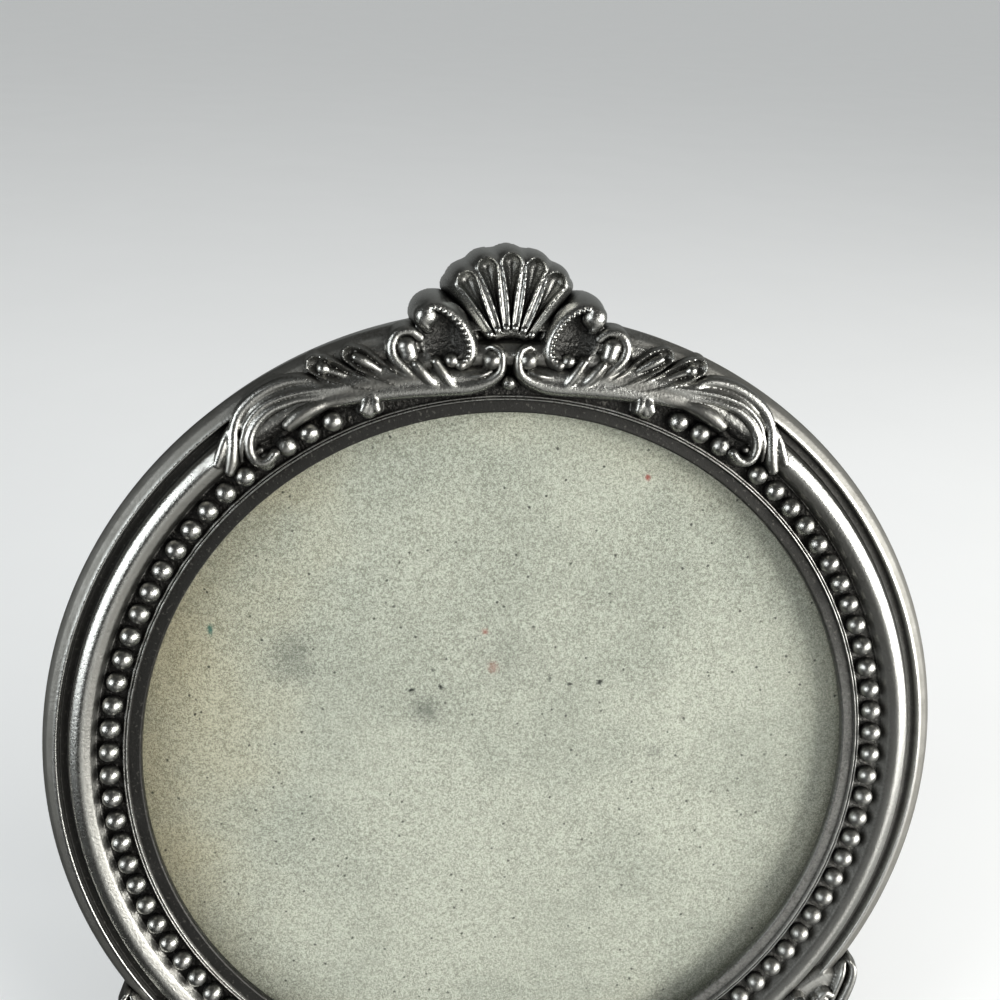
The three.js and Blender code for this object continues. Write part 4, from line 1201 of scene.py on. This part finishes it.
# %% Strokes of a foot
FOOT_STROKES = [
    # outer scroll down to the volute of the toe
    [(47.6, -30.0, 0.35, 1.0), (48.1, -31.0, 0.5, 1.5), (47.8, -33.0, 0.6, 1.7), (46.4, -36.7, 0.7, 1.7),
     (43.9, -41.2, 0.8, 1.7), (43.0, -45.0, 0.9, 1.8), (43.6, -49.0, 1.0, 1.9), (45.0, -52.4, 1.0, 1.9),
     (45.1, -55.2, 0.95, 1.7), (43.6, -57.0, 0.85, 1.4), (41.6, -56.7, 0.7, 1.4), (40.9, -55.0, 0.6, 1.6)],
    # line beside it
    [(46.9, -30.2, 0.3, 1.0), (46.5, -31.5, 0.42, 1.6), (45.9, -33.6, 0.42, 1.6), (44.8, -36.8, 0.4, 1.45),
     (42.4, -40.8, 0.42, 1.5), (41.2, -44.8, 0.42, 1.5), (41.6, -48.6, 0.4, 1.4)],
    # curl at the top of the leaf
    [(42.8, -37.6, 0.35, 1.3), (43.2, -35.6, 0.5, 1.7), (44.2, -34.2, 0.55, 1.8), (45.1, -34.6, 0.45, 1.7)],
    # inner scroll from the ring to the toe
    [(24.0, -47.9, 0.6, 1.2), (28.1, -48.6, 0.85, 1.5), (33.0, -50.0, 0.95, 1.6), (36.9, -52.6, 0.9, 1.6),
     (39.3, -56.0, 0.8, 1.5), (39.9, -58.4, 0.7, 1.0), (40.3, -61.5, 0.6, 0.2)],
    # veins of the middle leaf
    [(30.0, -45.6, 0.3, 1.1), (34.6, -46.8, 0.5, 1.4), (38.2, -49.4, 0.5, 1.5), (40.0, -52.4, 0.35, 1.4)],
    [(34.0, -43.0, 0.3, 1.1), (37.6, -44.6, 0.45, 1.4), (39.6, -47.6, 0.45, 1.4), (40.8, -50.8, 0.3, 1.3)],
]
FOOT_LEAVES = [
    [(42.4, -41.6, 0.5, 1.3), (42.6, -38.4, 1.0, 1.6), (43.4, -35.4, 1.0, 1.6)],
    [(39.0, -43.0, 0.5, 1.3), (39.4, -39.0, 1.1, 1.7), (40.6, -35.2, 1.1, 1.7)],
    [(35.0, -44.6, 0.5, 1.3), (35.0, -41.0, 1.1, 1.7), (35.6, -37.6, 1.1, 1.7)],
    [(30.6, -46.4, 0.5, 1.2), (30.4, -43.6, 1.0, 1.6), (30.8, -41.0, 1.0, 1.6)],
]
FOOT_BALLS = [(42.7, -54.7, 1.2, 1.9), (24.2, -47.4, 1.0, 1.8), (44.3, -35.2, 0.55, 1.9)]
print("strokes of a foot:", len(FOOT_STROKES), "leaves:", len(FOOT_LEAVES), "balls:", len(FOOT_BALLS))

# %% Carve the feet
OUTLINE_FRONT = -12.0  # the cutter reaches from in front of the strokes
OUTLINE_BACK = CREST_BACK + 1.0  # to behind the foot

for points in FOOT_LEAVES:
    foot.stroke(points, foot=0.3, profile=spoon, softness=0.3)
for points in FOOT_STROKES:
    foot.stroke(points, softness=0.3)
for x, z, radius, top in FOOT_BALLS:
    foot.dome(x, z, radius, top, softness=0.15)
for sign, side in ((1, foot), (-1, on_the_left(foot))):
    made = relief_solid("foot", side, CREST_BACK, RING_SINK)
    cutter = prism("foot_outline", outline[:-1] * (sign, 1), OUTLINE_FRONT, OUTLINE_BACK)
    combine(made, cutter, "INTERSECT")
    combine(casting, made, "UNION")

# %% [markdown]
# ## Back of the casting
# Four bosses in the cored back take the screws of the turn buttons. The feet are ground flat on the table,
# which is the floor of the scene, so a block below it cuts them.

# %% Bosses, screw holes and the table
BUTTON_CIRCLE = 51.55
BUTTON_ANGLES = (45, 135, 225, 315)
BOSS = (3.2, 4.0, 7.9)  # radius, front, back
SCREW_HOLE = (1.2, 3.0, 8.4)
TABLE_HALF, TABLE_DEEP = 0.2, 0.1  # in metres


def pillar(centre, radius, front, back, segments=48):
    """Points and faces of a round pillar along the depth of the frame."""
    angles = np.arange(segments) * 2 * math.pi / segments
    circle = np.stack([np.sin(angles), np.zeros(segments), np.cos(angles)], axis=-1) * radius
    points = np.concatenate([circle + (0, front, 0), circle + (0, back, 0)]) + (centre[0], 0, centre[1])
    ring = list(range(segments))
    faces = [tuple(ring), tuple(segments + k for k in reversed(ring))]
    faces += [(k, k + segments, (k + 1) % segments + segments, (k + 1) % segments) for k in ring]
    return points, faces


button_places = [(BUTTON_CIRCLE * math.sin(angle), BUTTON_CIRCLE * math.cos(angle))
                 for angle in map(math.radians, BUTTON_ANGLES)]
bosses = [pillar(spot, *BOSS) for spot in button_places]
holes = [pillar(spot, *SCREW_HOLE, 24) for spot in button_places]
table_low, table_high = (-TABLE_HALF, -TABLE_HALF, -TABLE_DEEP), (TABLE_HALF, TABLE_HALF, 0)
combine(casting, gather("bosses", bosses), "UNION")
combine(casting, gather("screw_holes", holes), "DIFFERENCE")
combine(casting, block("table", table_low, table_high, np.asarray), "DIFFERENCE")
print("casting:", len(casting.data.polygons), "faces")

# %% [markdown]
# ## Finishing the casting
# The fine grids leave far more triangles than the shape needs. Decimation takes them away where the surface
# is nearly flat, and keeps them on the leaves. A coarser grid would have blurred the leaves instead.

# %% Finish the casting
CASTING_TRIANGLES = 180000
thin(casting, CASTING_TRIANGLES)
shade(casting)
finish_piece(casting, PEWTER, "frame", "frame_casting", "white_metal")

# %% [markdown]
# ## Grey card
# Where a picture would be there is a round of recycled chipboard. Its colour comes from pale and dark
# fibres, with stray coloured flecks from the paper it was made of, smudges and pricks. A photograph of card
# would be quicker, but noise gives the same grain at every size and on the edge too. Marks that can be told
# apart are placed one by one.

# %% Marks on the card
FLECK_RED = (0.25, 0.06, 0.048, 1)
FLECK_GREEN = (0.018, 0.09, 0.075, 1)
SMUDGE_GREY = (0.072, 0.072, 0.065, 1)
PRICK_BLACK = (0.01, 0.01, 0.009, 1)
# x, z, half width, half height, colour, strength
CARD_MARKS = [
    (17.9, 35.9, 0.45, 0.55, FLECK_RED, 1.0), (-2.1, 16.2, 0.5, 0.5, FLECK_RED, 0.7),
    (-1.0, 11.4, 0.8, 1.0, FLECK_RED, 0.5), (-36.0, 17.0, 0.45, 0.8, FLECK_GREEN, 0.9),
    (-9.6, 5.9, 2.4, 2.2, SMUDGE_GREY, 0.55), (-26.0, 13.4, 3.4, 4.4, SMUDGE_GREY, 0.4),
    (20.5, -0.8, 1.5, 1.2, SMUDGE_GREY, 0.35), (1.0, 12.5, 7.0, 5.0, SMUDGE_GREY, 0.18),
    (-11.4, 8.6, 0.65, 0.3, PRICK_BLACK, 1.0), (-7.7, 8.9, 0.4, 0.45, PRICK_BLACK, 1.0),
    (8.9, 8.9, 0.6, 0.28, PRICK_BLACK, 0.9), (12.8, 9.1, 0.5, 0.45, PRICK_BLACK, 1.0),
    (6.3, 9.7, 0.25, 0.6, PRICK_BLACK, 0.7), (-8.7, 11.2, 0.3, 0.3, PRICK_BLACK, 0.8),
]


def marked(finish, place, colour, frayed):
    """The colour with the marks on it, and how deep the pricks are."""
    pricks = 0
    for *spot, mark_colour, strength in CARD_MARKS:
        mark = (1 - finish.step(finish.spot(place, *spot) + frayed, 0.1, 1.3)) * strength
        colour = finish.blend(mark, colour, mark_colour)
        if mark_colour == PRICK_BLACK:
            pricks = pricks + mark
    return colour, pricks


print("marks on the card:", len(CARD_MARKS))

# %% Chipboard
DARK_FIBRE, PALE_FIBRE = (0.19, 0.183, 0.156, 1), (0.45, 0.437, 0.389, 1)
# the brown tint serves the stain at the left and the painted shade near the edge
BROWN_STAIN_AND_SHADE, DAMP_GREY = (0.83, 0.73, 0.58, 1), (0.84, 0.86, 0.86, 1)
STAINED_WAY = (-0.97, 0, 0.22)  # towards the stained left edge


def chipboard():
    finish = Finish("chipboard", Specular_IOR_Level=0.2)
    place = finish.place()
    fibre = finish.noise(place, 3.3, detail=3, roughness=0.75)
    fine = finish.noise(place, 7.0, detail=2)
    cloud = finish.noise(place, 0.07, detail=3)
    grain = finish.step(fibre + (fine - 0.5) * 0.9 + (cloud - 0.5) * 0.15, 0.27, 0.73)
    colour = finish.blend(grain, DARK_FIBRE, PALE_FIBRE)
    stain = finish.step(finish.dot(place, STAINED_WAY) + (cloud - 0.5) * 26, 20, 46)
    # painted shade: near its edge, under the lip, the card is tinted darker and browner
    rim = finish.step(finish.from_axis(place) + (cloud - 0.5) * 12, 37, 49)
    colour = finish.tint(stain * 0.65 + rim * 0.3, colour, BROWN_STAIN_AND_SHADE)
    colour = finish.tint((1 - finish.step(cloud, 0.35, 0.6)) * 0.5, colour, DAMP_GREY)
    colour, pricks = marked(finish, place, colour, (fibre - 0.5) * 1.6)
    scatter = {"Vector": place, "Scale": 0.5}
    cells = finish.node("ShaderNodeTexVoronoi", sockets=scatter, output="Distance")
    specks = 1 - finish.step(cells + (fibre - 0.5) * 0.12, 0.05, 0.12)
    colour = finish.blend(specks * 0.8, colour, PRICK_BLACK)
    height = grain * 0.6 + fine * 0.4 - pricks * 2.0
    finish.surface(Base_Color=colour, Roughness=0.86 + (fibre - 0.5) * 0.2,
                   Normal=finish.bump(height, 0.55, 0.09))
    return finish.material


CHIPBOARD = chipboard()
print("chipboard has", len(CHIPBOARD.node_tree.nodes), "nodes")

# %% [markdown]
# ## Round sheets
# Card and glass are rounds cut from a sheet. A cylinder would do, but a real edge is never quite sharp, so
# two short bevels are part of the outline. The card has also cockled a little, which the light picks up.

# %% Sheet and card
SHEET_RINGS = 30


def round_sheet(name, radius, front, back, edge, cockle=0.0):
    """A round sheet with softened edges that may swell a little to the back."""
    rings = np.linspace(radius / SHEET_RINGS, radius - edge, SHEET_RINGS)
    lip = [(radius - 0.3 * edge, 0.3 * edge), (radius, edge)]
    outline = [(r, front, 1) for r in rings] + [(r, front + d, 1) for r, d in lip]
    outline += [(r, back - d, 0) for r, d in reversed(lip)] + [(r, back, 0) for r in rings[::-1]]
    angles = np.arange(RING_SEGMENTS // 2) * 4 * math.pi / RING_SEGMENTS
    points, faces = [(0, front + cockle, 0), (0, back, 0)], []
    count = len(outline)
    for angle in angles:
        for r, depth, waves in outline:
            x, z = r * math.sin(angle), r * math.cos(angle)
            swell = 1 + math.sin(0.11 * x + 0.6) * math.cos(0.09 * z - 0.4)
            points.append((x, depth + waves * cockle * swell, z))
    for turn in range(len(angles)):
        here, there = 2 + turn * count, 2 + (turn + 1) % len(angles) * count
        faces.append((0, here, there))
        faces.append((1, there + count - 1, here + count - 1))
        faces += [(here + k, here + k + 1, there + k + 1, there + k) for k in range(count - 1)]
    return mesh_object(name, points, faces)


card = round_sheet("filler_card_visual", 46.5, 3.72, 4.88, 0.2, cockle=0.06)
shade(card)
finish_piece(card, CHIPBOARD, "frame", "filler_card", "grey_card")

# %% [markdown]
# ## Glass
# The pane is clear, so it is mostly a transparent shader. A Fresnel node mixes in a mirror, more of it at
# a slanting view, as on real glass. Inside the pane the node would mirror all slanting light and keep it
# off the card, so only faces that are seen from outside are mirrors. A little haze makes them uneven.


# %% Pane
def clear_glass():
    finish = Finish("clear_glass", Metallic=1.0, Base_Color=(1, 1, 1, 1))
    haze = finish.noise(finish.place(), 0.12, detail=5)
    mirror = finish.node("ShaderNodeFresnel", sockets={"IOR": 1.45})
    finish.surface(Roughness=0.03 + haze * 0.05, Normal=finish.bump(haze, 0.02, 0.2))
    outside = 1 - finish.node("ShaderNodeNewGeometry", output="Backfacing")
    finish.see_through(mirror * outside * (0.6 + haze * 0.3), (0.965, 0.985, 0.97, 1))
    return finish.material


pane = round_sheet("glass_pane_visual", 46.5, 1.82, 3.38, 0.3)
shade(pane)
finish_piece(pane, clear_glass(), "frame", "glass_pane", "glass")

# %% [markdown]
# ## Flock and fibreboard
# The back was not in the photograph, so it is made as such frames usually are: brown fibreboard faced with
# black flocked paper. Flock is a nap of tiny hairs that catch light at a slant, which is what sheen is for.
# Edges wear through to the board.


# %% Finishes of the back
def black_flock():
    finish = Finish("black_flock", Sheen_Weight=0.45, Sheen_Roughness=0.4, Sheen_Tint=(0.5, 0.5, 0.55, 1),
                    Specular_IOR_Level=0.1)
    place = finish.place()
    nap = finish.noise(place, 5.0, detail=2)
    brushed = finish.noise(place, 0.10, detail=3, distortion=0.6)
    dust = finish.step(finish.noise(place, 1.3, detail=2), 0.70, 0.80)
    colour = finish.blend(brushed, (0.012, 0.012, 0.014, 1), (0.026, 0.026, 0.029, 1))
    colour = finish.blend(dust * 0.35, colour, (0.22, 0.21, 0.20, 1))
    colour = finish.blend(finish.worn_edges(0.5) * 0.6, colour, (0.16, 0.13, 0.10, 1))
    finish.surface(Base_Color=colour, Roughness=0.88 + (nap - 0.5) * 0.15,
                   Normal=finish.bump(nap, 0.5, 0.08))
    return finish.material


def fibreboard():
    finish = Finish("fibreboard", Specular_IOR_Level=0.25)
    place = finish.place()
    long_way = finish.vector("MULTIPLY", place, (2.4, 2.4, 0.5))
    fibre = finish.noise(long_way, 1.0, detail=4, roughness=0.7)
    cloud = finish.noise(place, 0.08)
    colour = finish.blend(fibre, (0.125, 0.082, 0.050, 1), (0.30, 0.215, 0.135, 1))
    colour = finish.tint(cloud * 0.6, colour, (0.72, 0.70, 0.68, 1))
    colour = finish.blend(finish.worn_edges(0.4) * 0.5, colour, (0.42, 0.33, 0.23, 1))
    finish.surface(Base_Color=colour, Roughness=0.62 + fibre * 0.25, Normal=finish.bump(fibre, 0.4, 0.10))
    return finish.material


FLOCK = black_flock()
BOARD = fibreboard()
print("finishes of the back:", FLOCK.name, BOARD.name)

# %% [markdown]
# ## Sheet metal
# The hinge, screws and rivets are plated steel and the buttons are brassed. Both wear alike, so one
# function makes both: faint drawn lines, dull patches, a few stains, and edges that are rubbed bright. Two
# materials made by hand would soon drift apart.


# %% Steel and brass
def sheet_metal(name, bright, dull, stain):
    """Rolled or stamped sheet metal: drawn lines, dull patches, and edges rubbed bright."""
    finish = Finish(name)
    place = finish.place()
    drawn = finish.vector("MULTIPLY", place, (0.5, 3.0, 3.5))
    lines = finish.noise(drawn, 1.2, detail=3)
    patches = finish.noise(place, 0.35, detail=4)
    spots = finish.step(finish.noise(place, 1.1, detail=3), 0.64, 0.76)
    edges = finish.worn_edges(0.25)
    colour = finish.blend(finish.step(patches, 0.3, 0.7), bright, dull)
    colour = finish.blend(spots * 0.7, colour, stain)
    colour = finish.blend(edges * 0.7, colour, bright)
    finish.surface(Base_Color=colour, Metallic=1 - spots * 0.4, Normal=finish.bump(lines, 0.15, 0.04),
                   Roughness=0.24 + lines * 0.14 + spots * 0.3 - edges * 0.06)
    return finish.material


STEEL = sheet_metal("plated_steel", (0.60, 0.585, 0.55, 1), (0.44, 0.43, 0.405, 1), (0.13, 0.10, 0.075, 1))
BRASS = sheet_metal("brassed_sheet", (0.66, 0.47, 0.19, 1), (0.47, 0.32, 0.13, 1), (0.10, 0.07, 0.04, 1))
print("sheet metals:", STEEL.name, BRASS.name)

# %% [markdown]
# ## Pieces that keep the shape of their solids
# Boards, facings and hinge leaves are flat pieces, and their solids already have the right shape. They only
# need a finish, and a small bevel so that their edges catch light as real edges do.


# %% Boards, facings and hinge leaves
def carry(node, material, bevel):
    """Gives a packed solid a finish and a small bevel, in millimetres."""
    piece = bpy.data.objects[node]
    piece.data.materials.clear()
    piece.data.materials.append(material)
    modifier = piece.modifiers.new("bevel", "BEVEL")
    modifier.width = bevel * MM
    modifier.segments = 2
    modifier.limit_method = "ANGLE"
    modifier.angle_limit = math.radians(40)
    modifier.harden_normals = True


BOARD_BEVEL, THIN_BEVEL = 0.15, 0.10
CARRIED = [
    (BOARD, BOARD_BEVEL, ("back_board", "leg_board")),
    (FLOCK, THIN_BEVEL, ("back_facing", "leg_facing")),
    (STEEL, THIN_BEVEL, ("hinge_upper_leaf", "hinge_lower_leaf", "hinge_pin")),
]
for material, bevel, nodes in CARRIED:
    for node in nodes:
        carry(node, material, bevel)
print("carried over:", sum(len(nodes) for material, bevel, nodes in CARRIED), "solids")

# %% [markdown]
# ## Turned pieces
# Screws and rivets are turned, so a profile of radius and depth is spun round an axis. It could be a Screw
# modifier, but code also says where the piece goes: beside the ring, or on the open leg, which is swung out
# about the hinge pin.

# %% Turning and placing
PIVOT = (0.0, 9.7, 16.0)
LEG_OPEN = math.radians(27)
TURNED_SEGMENTS = 40


def turned(name, profile, to_frame):
    """A turned piece from (radius, depth) rows, closed on the axis at both ends."""
    count = len(profile)
    points, faces = [(0, profile[0][1], 0), (0, profile[-1][1], 0)], []
    for step in range(TURNED_SEGMENTS):
        angle = 2 * math.pi * step / TURNED_SEGMENTS
        points += [(r * math.sin(angle), depth, r * math.cos(angle)) for r, depth in profile]
        here, there = 2 + step * count, 2 + (step + 1) % TURNED_SEGMENTS * count
        faces.append((0, there, here))
        faces.append((1, here + count - 1, there + count - 1))
        faces += [(here + k, there + k, there + k + 1, here + k + 1) for k in range(count - 1)]
    return mesh_object(name, to_frame(np.array(points)), faces)


def moved_to(x, y, z):
    return lambda points: np.asarray(points, float) + (x, y, z)


def on_leg(x, y, z):
    """From beside the hinge pin, on the open leg, to the frame."""
    swing = np.array(Matrix.Rotation(LEG_OPEN, 3, "X"))
    return lambda points: (np.asarray(points, float) + (x, y, z)) @ swing.T + PIVOT


def spun_at(angle, x, z):
    """From beside the axis of a piece, turned about that axis, to its place in the frame."""
    spin = np.array(Matrix.Rotation(angle, 3, "Y"))
    return lambda points: np.asarray(points, float) @ spin.T + (x, 0, z)


def dome_profile(radius, base, height, steps=8):
    """A low dome from its rim to the middle of its top."""
    wall = 0.3 * height
    rows = [(radius, base), (radius, base + wall)]
    for t in np.linspace(0, 1, steps)[1:-1]:
        tilt = t * math.pi / 2
        rows.append((radius * math.cos(tilt), base + wall + (height - wall) * math.sin(tilt)))
    return rows + [(0.06 * radius, base + height)]


print("a low dome has", len(dome_profile(1.0, 0.0, 1.0)), "rows")

# %% [markdown]
# ## Screws
# Each button hangs on a round-headed screw with a sawn slot. The slot is cut by a thin block that is turned
# by a different angle on each screw, because nobody lines them up. The thread is only rings, since it is
# hidden in the boss.

# %% Screws
SCREW_TURNS = (25, -40, 80, 10)  # where each slot came to rest
THREAD = [(0.9 - 0.12 * (k % 2), 3.62 + 0.28 * k) for k in range(16)]
HEAD_BASE = 9.32
SCREW_PROFILE = [(0.3, 3.62)] + THREAD + [(0.9, HEAD_BASE)] + dome_profile(2.08, HEAD_BASE, 0.96)
SLOT_LOW, SLOT_HIGH = (-3, 9.86, -0.25), (3, 10.6, 0.25)

for index, (x, z) in enumerate(button_places):
    screw = turned(f"turn_button_screw_{index + 1}_visual", SCREW_PROFILE, moved_to(x, 0, z))
    to_frame = spun_at(math.radians(SCREW_TURNS[index]), x, z)
    slot = block("slot", SLOT_LOW, SLOT_HIGH, lambda points: world(to_frame(points)))
    combine(screw, slot, "DIFFERENCE")
    shade(screw)
    finish_piece(screw, STEEL, "frame", f"turn_button_screw_{index + 1}", "steel")

# %% [markdown]
# ## Rivets
# Two rivets hold each leaf of the hinge, the upper ones in the back and the lower ones in the leg. They are
# the same turned shape with another length of shank, so one loop makes all four.

# %% Rivets
UPPER_SHANK = [(0.5, -4.48), (0.88, -4.2), (0.88, -0.58)]
LOWER_SHANK = [(0.5, -1.48), (0.88, -1.3), (0.88, 2.22)]
RIVET_RADIUS, RIVET_HEIGHT = 1.78, 0.66
RIVET_ACROSS, RIVET_FROM_PIN = 4.5, 7.5

for number, side in ((1, 1), (2, -1)):
    across = side * RIVET_ACROSS
    on_back = moved_to(across, PIVOT[1], PIVOT[2] + RIVET_FROM_PIN)
    leaves = [("upper", "frame", UPPER_SHANK, on_back)]
    leaves += [("lower", "easel_leg", LOWER_SHANK, on_leg(across, 0, -RIVET_FROM_PIN))]
    for leaf, body, shank, to_frame in leaves:
        head = dome_profile(RIVET_RADIUS, shank[-1][1], RIVET_HEIGHT)
        piece = turned(f"hinge_{leaf}_rivet_{number}_visual", shank + head, to_frame)
        shade(piece)
        finish_piece(piece, STEEL, body, f"hinge_{leaf}_rivet_{number}", "steel")

# %% [markdown]
# ## Turn buttons
# A button is stamped from sheet: the punch rounds the rim of its face and leaves the back flat. Shrinking
# copies of the outline make that rim. The other way, a bevel, would round both sides alike.

# %% Turn buttons
BUTTON_FRONT, BUTTON_BACK = 8.22, 8.98
BUTTON_END, BUTTON_TIP, BUTTON_REACH = 2.78, 1.98, 5.55
# share of the outline, and depth
BUTTON_LEVELS = [(1.0, BUTTON_FRONT), (1.0, BUTTON_BACK - 0.3), (0.97, BUTTON_BACK - 0.12),
                 (0.92, BUTTON_BACK - 0.03), (0.86, BUTTON_BACK)]
BUTTON_HOLE = (1.2, 7.5, 9.5)  # radius, front, back


def button_outline():
    """A round end, a smaller round tip, and straight sides between them."""
    end = [(BUTTON_END * math.cos(t), BUTTON_END * math.sin(t)) for t in np.linspace(0, math.pi, 25)]
    tip = [(BUTTON_TIP * math.cos(t), BUTTON_TIP * math.sin(t) - BUTTON_REACH)
           for t in np.linspace(math.pi, 2 * math.pi, 25)]
    return np.array(end + tip)


def stamped_button(name, to_frame):
    outline = button_outline()
    middle = np.array([0, -BUTTON_REACH / 2])
    count, last = len(outline), len(BUTTON_LEVELS) - 1
    points = []
    for share, depth in BUTTON_LEVELS:
        points += [(x, depth, z) for x, z in middle + (outline - middle) * share]
    faces = [tuple(reversed(range(count))), tuple(range(last * count, (last + 1) * count))]
    for low in range(0, last * count, count):
        for k in range(count):
            after = (k + 1) % count
            faces.append((low + k, low + after, low + count + after, low + count + k))
    return mesh_object(name, to_frame(points), faces)


for index, (x, z) in enumerate(button_places):
    to_frame = spun_at(math.radians(BUTTON_ANGLES[index]), x, z)
    button = stamped_button(f"turn_button_{index + 1}_visual", to_frame)
    combine(button, gather("hole", [pillar((x, z), *BUTTON_HOLE, 32)]), "DIFFERENCE")
    shade(button)
    finish_piece(button, BRASS, f"turn_button_{index + 1}", f"turn_button_{index + 1}", "brass")

# %% [markdown]
# ## Floor
# A plain pale floor, a little mottled, is all that lies round the frame. It is far larger than the picture,
# so that its far edge melts into the backdrop. The metal does not mirror it, because what the metal mirrors
# is set below, in the world.


# %% Floor
def pale_floor():
    finish = Finish("pale_floor", Roughness=0.7, Specular_IOR_Level=0.2)
    mottle = finish.noise(finish.place(), 0.02)
    finish.surface(Base_Color=finish.blend(mottle, (0.85, 0.86, 0.86, 1), (0.88, 0.89, 0.89, 1)))
    return finish.material


FLOOR_HALF = 20.0
floor_corners = [(x * FLOOR_HALF, y * FLOOR_HALF, 0) for x, y in ((-1, -1), (1, -1), (1, 1), (-1, 1))]
floor_mesh = bpy.data.meshes.new("floor")
floor_mesh.from_pydata(floor_corners, [], [(0, 1, 2, 3)])
floor = bpy.data.objects.new("floor", floor_mesh)
floor_mesh.materials.append(pale_floor())
bpy.context.scene.collection.objects.link(floor)
floor.visible_glossy = False
print("floor:", 2 * FLOOR_HALF, "m wide")

# %% [markdown]
# ## Lights
# Three soft lights, as in a small studio. A large one at the right gives each bead its main highlight and
# drops the shadow of the lip on the card. A weaker one at the left gives the second highlight, and a faint
# one above lifts the crest. Area lights are used because their size sets how soft a highlight is.


# %% Lights
def lamp(name, direction, distance, size, power, colour):
    """A soft rectangular light that looks at the middle of the ring."""
    light = bpy.data.lights.new(name, "AREA")
    light.shape = "RECTANGLE"
    light.size, light.size_y = size
    light.energy = power
    light.color = colour
    made = bpy.data.objects.new(name, light)
    away = Vector(direction).normalized()
    made.location = Vector(CENTRE) + away * distance
    made.rotation_euler = away.to_track_quat("Z", "Y").to_euler()
    bpy.context.scene.collection.objects.link(made)


# name, direction from the frame, distance, size, power, colour
LAMPS = [
    ("key_light", (0.81, -0.52, 0.15), 0.6, (0.50, 0.34), 7.0, (1.0, 0.98, 0.95)),
    ("left_light", (-0.86, -0.45, 0.27), 0.6, (0.28, 0.36), 2.1, (0.95, 0.98, 1.0)),
    ("top_light", (0.1, 0.35, 1.0), 0.9, (0.8, 0.8), 0.3, (1.0, 1.0, 1.0)),
]
for row in LAMPS:
    lamp(*row)
print("lights:", [row[0] for row in LAMPS])

# %% [markdown]
# ## What the metal mirrors
# Metal shows little but its surroundings. Most of the room is dark, so that the pewter looks as deep as it
# is, but one side is paler and a pale table stands in it. Other surfaces get a soft even light instead, and
# the camera sees a plain backdrop. The Light Path node tells these kinds of ray apart.

# %% World
WALL = (0.53, 0.54, 0.54, 1)  # what the camera sees behind the floor
ROOM = (0.60, 0.61, 0.61, 1)  # soft light from all around
BRIGHT_SIDE = (0.62, 0.75, -0.2)  # the metal mirrors a paler room on this side
TABLE_SIDE = (0.35, -0.85, -0.38)  # and a pale table on this one
DARK_ROOM, PALE_ROOM = (0.05, 0.05, 0.048, 1), (0.31, 0.32, 0.315, 1)
PALE_TABLE = (0.85, 0.84, 0.81, 1)

studio = bpy.data.worlds.new("studio")
studio.use_nodes = True
studio.cycles.sampling_method = "NONE"  # the room and its mirror image differ, so it is no lamp
bpy.context.scene.world = studio
graph = Graph(studio.node_tree)
direction = graph.node("ShaderNodeTexCoord", output="Generated")
mirrored = graph.blend(graph.step(graph.dot(direction, BRIGHT_SIDE), 0.0, 0.9), DARK_ROOM, PALE_ROOM)
mirrored = graph.blend(graph.step(graph.dot(direction, TABLE_SIDE), 0.80, 0.98), mirrored, PALE_TABLE)
lit = graph.blend(graph.node("ShaderNodeLightPath", output="Is Diffuse Ray"), mirrored, ROOM)
seen = graph.blend(graph.node("ShaderNodeLightPath", output="Is Camera Ray"), lit, WALL)
graph.feed(studio.node_tree.nodes["Background"], {"Color": seen})
bpy.context.scene.view_settings.view_transform = "Standard"
print("world has", len(studio.node_tree.nodes), "nodes")

# %% [markdown]
# The carving may not make the frame larger than the part it stands for.
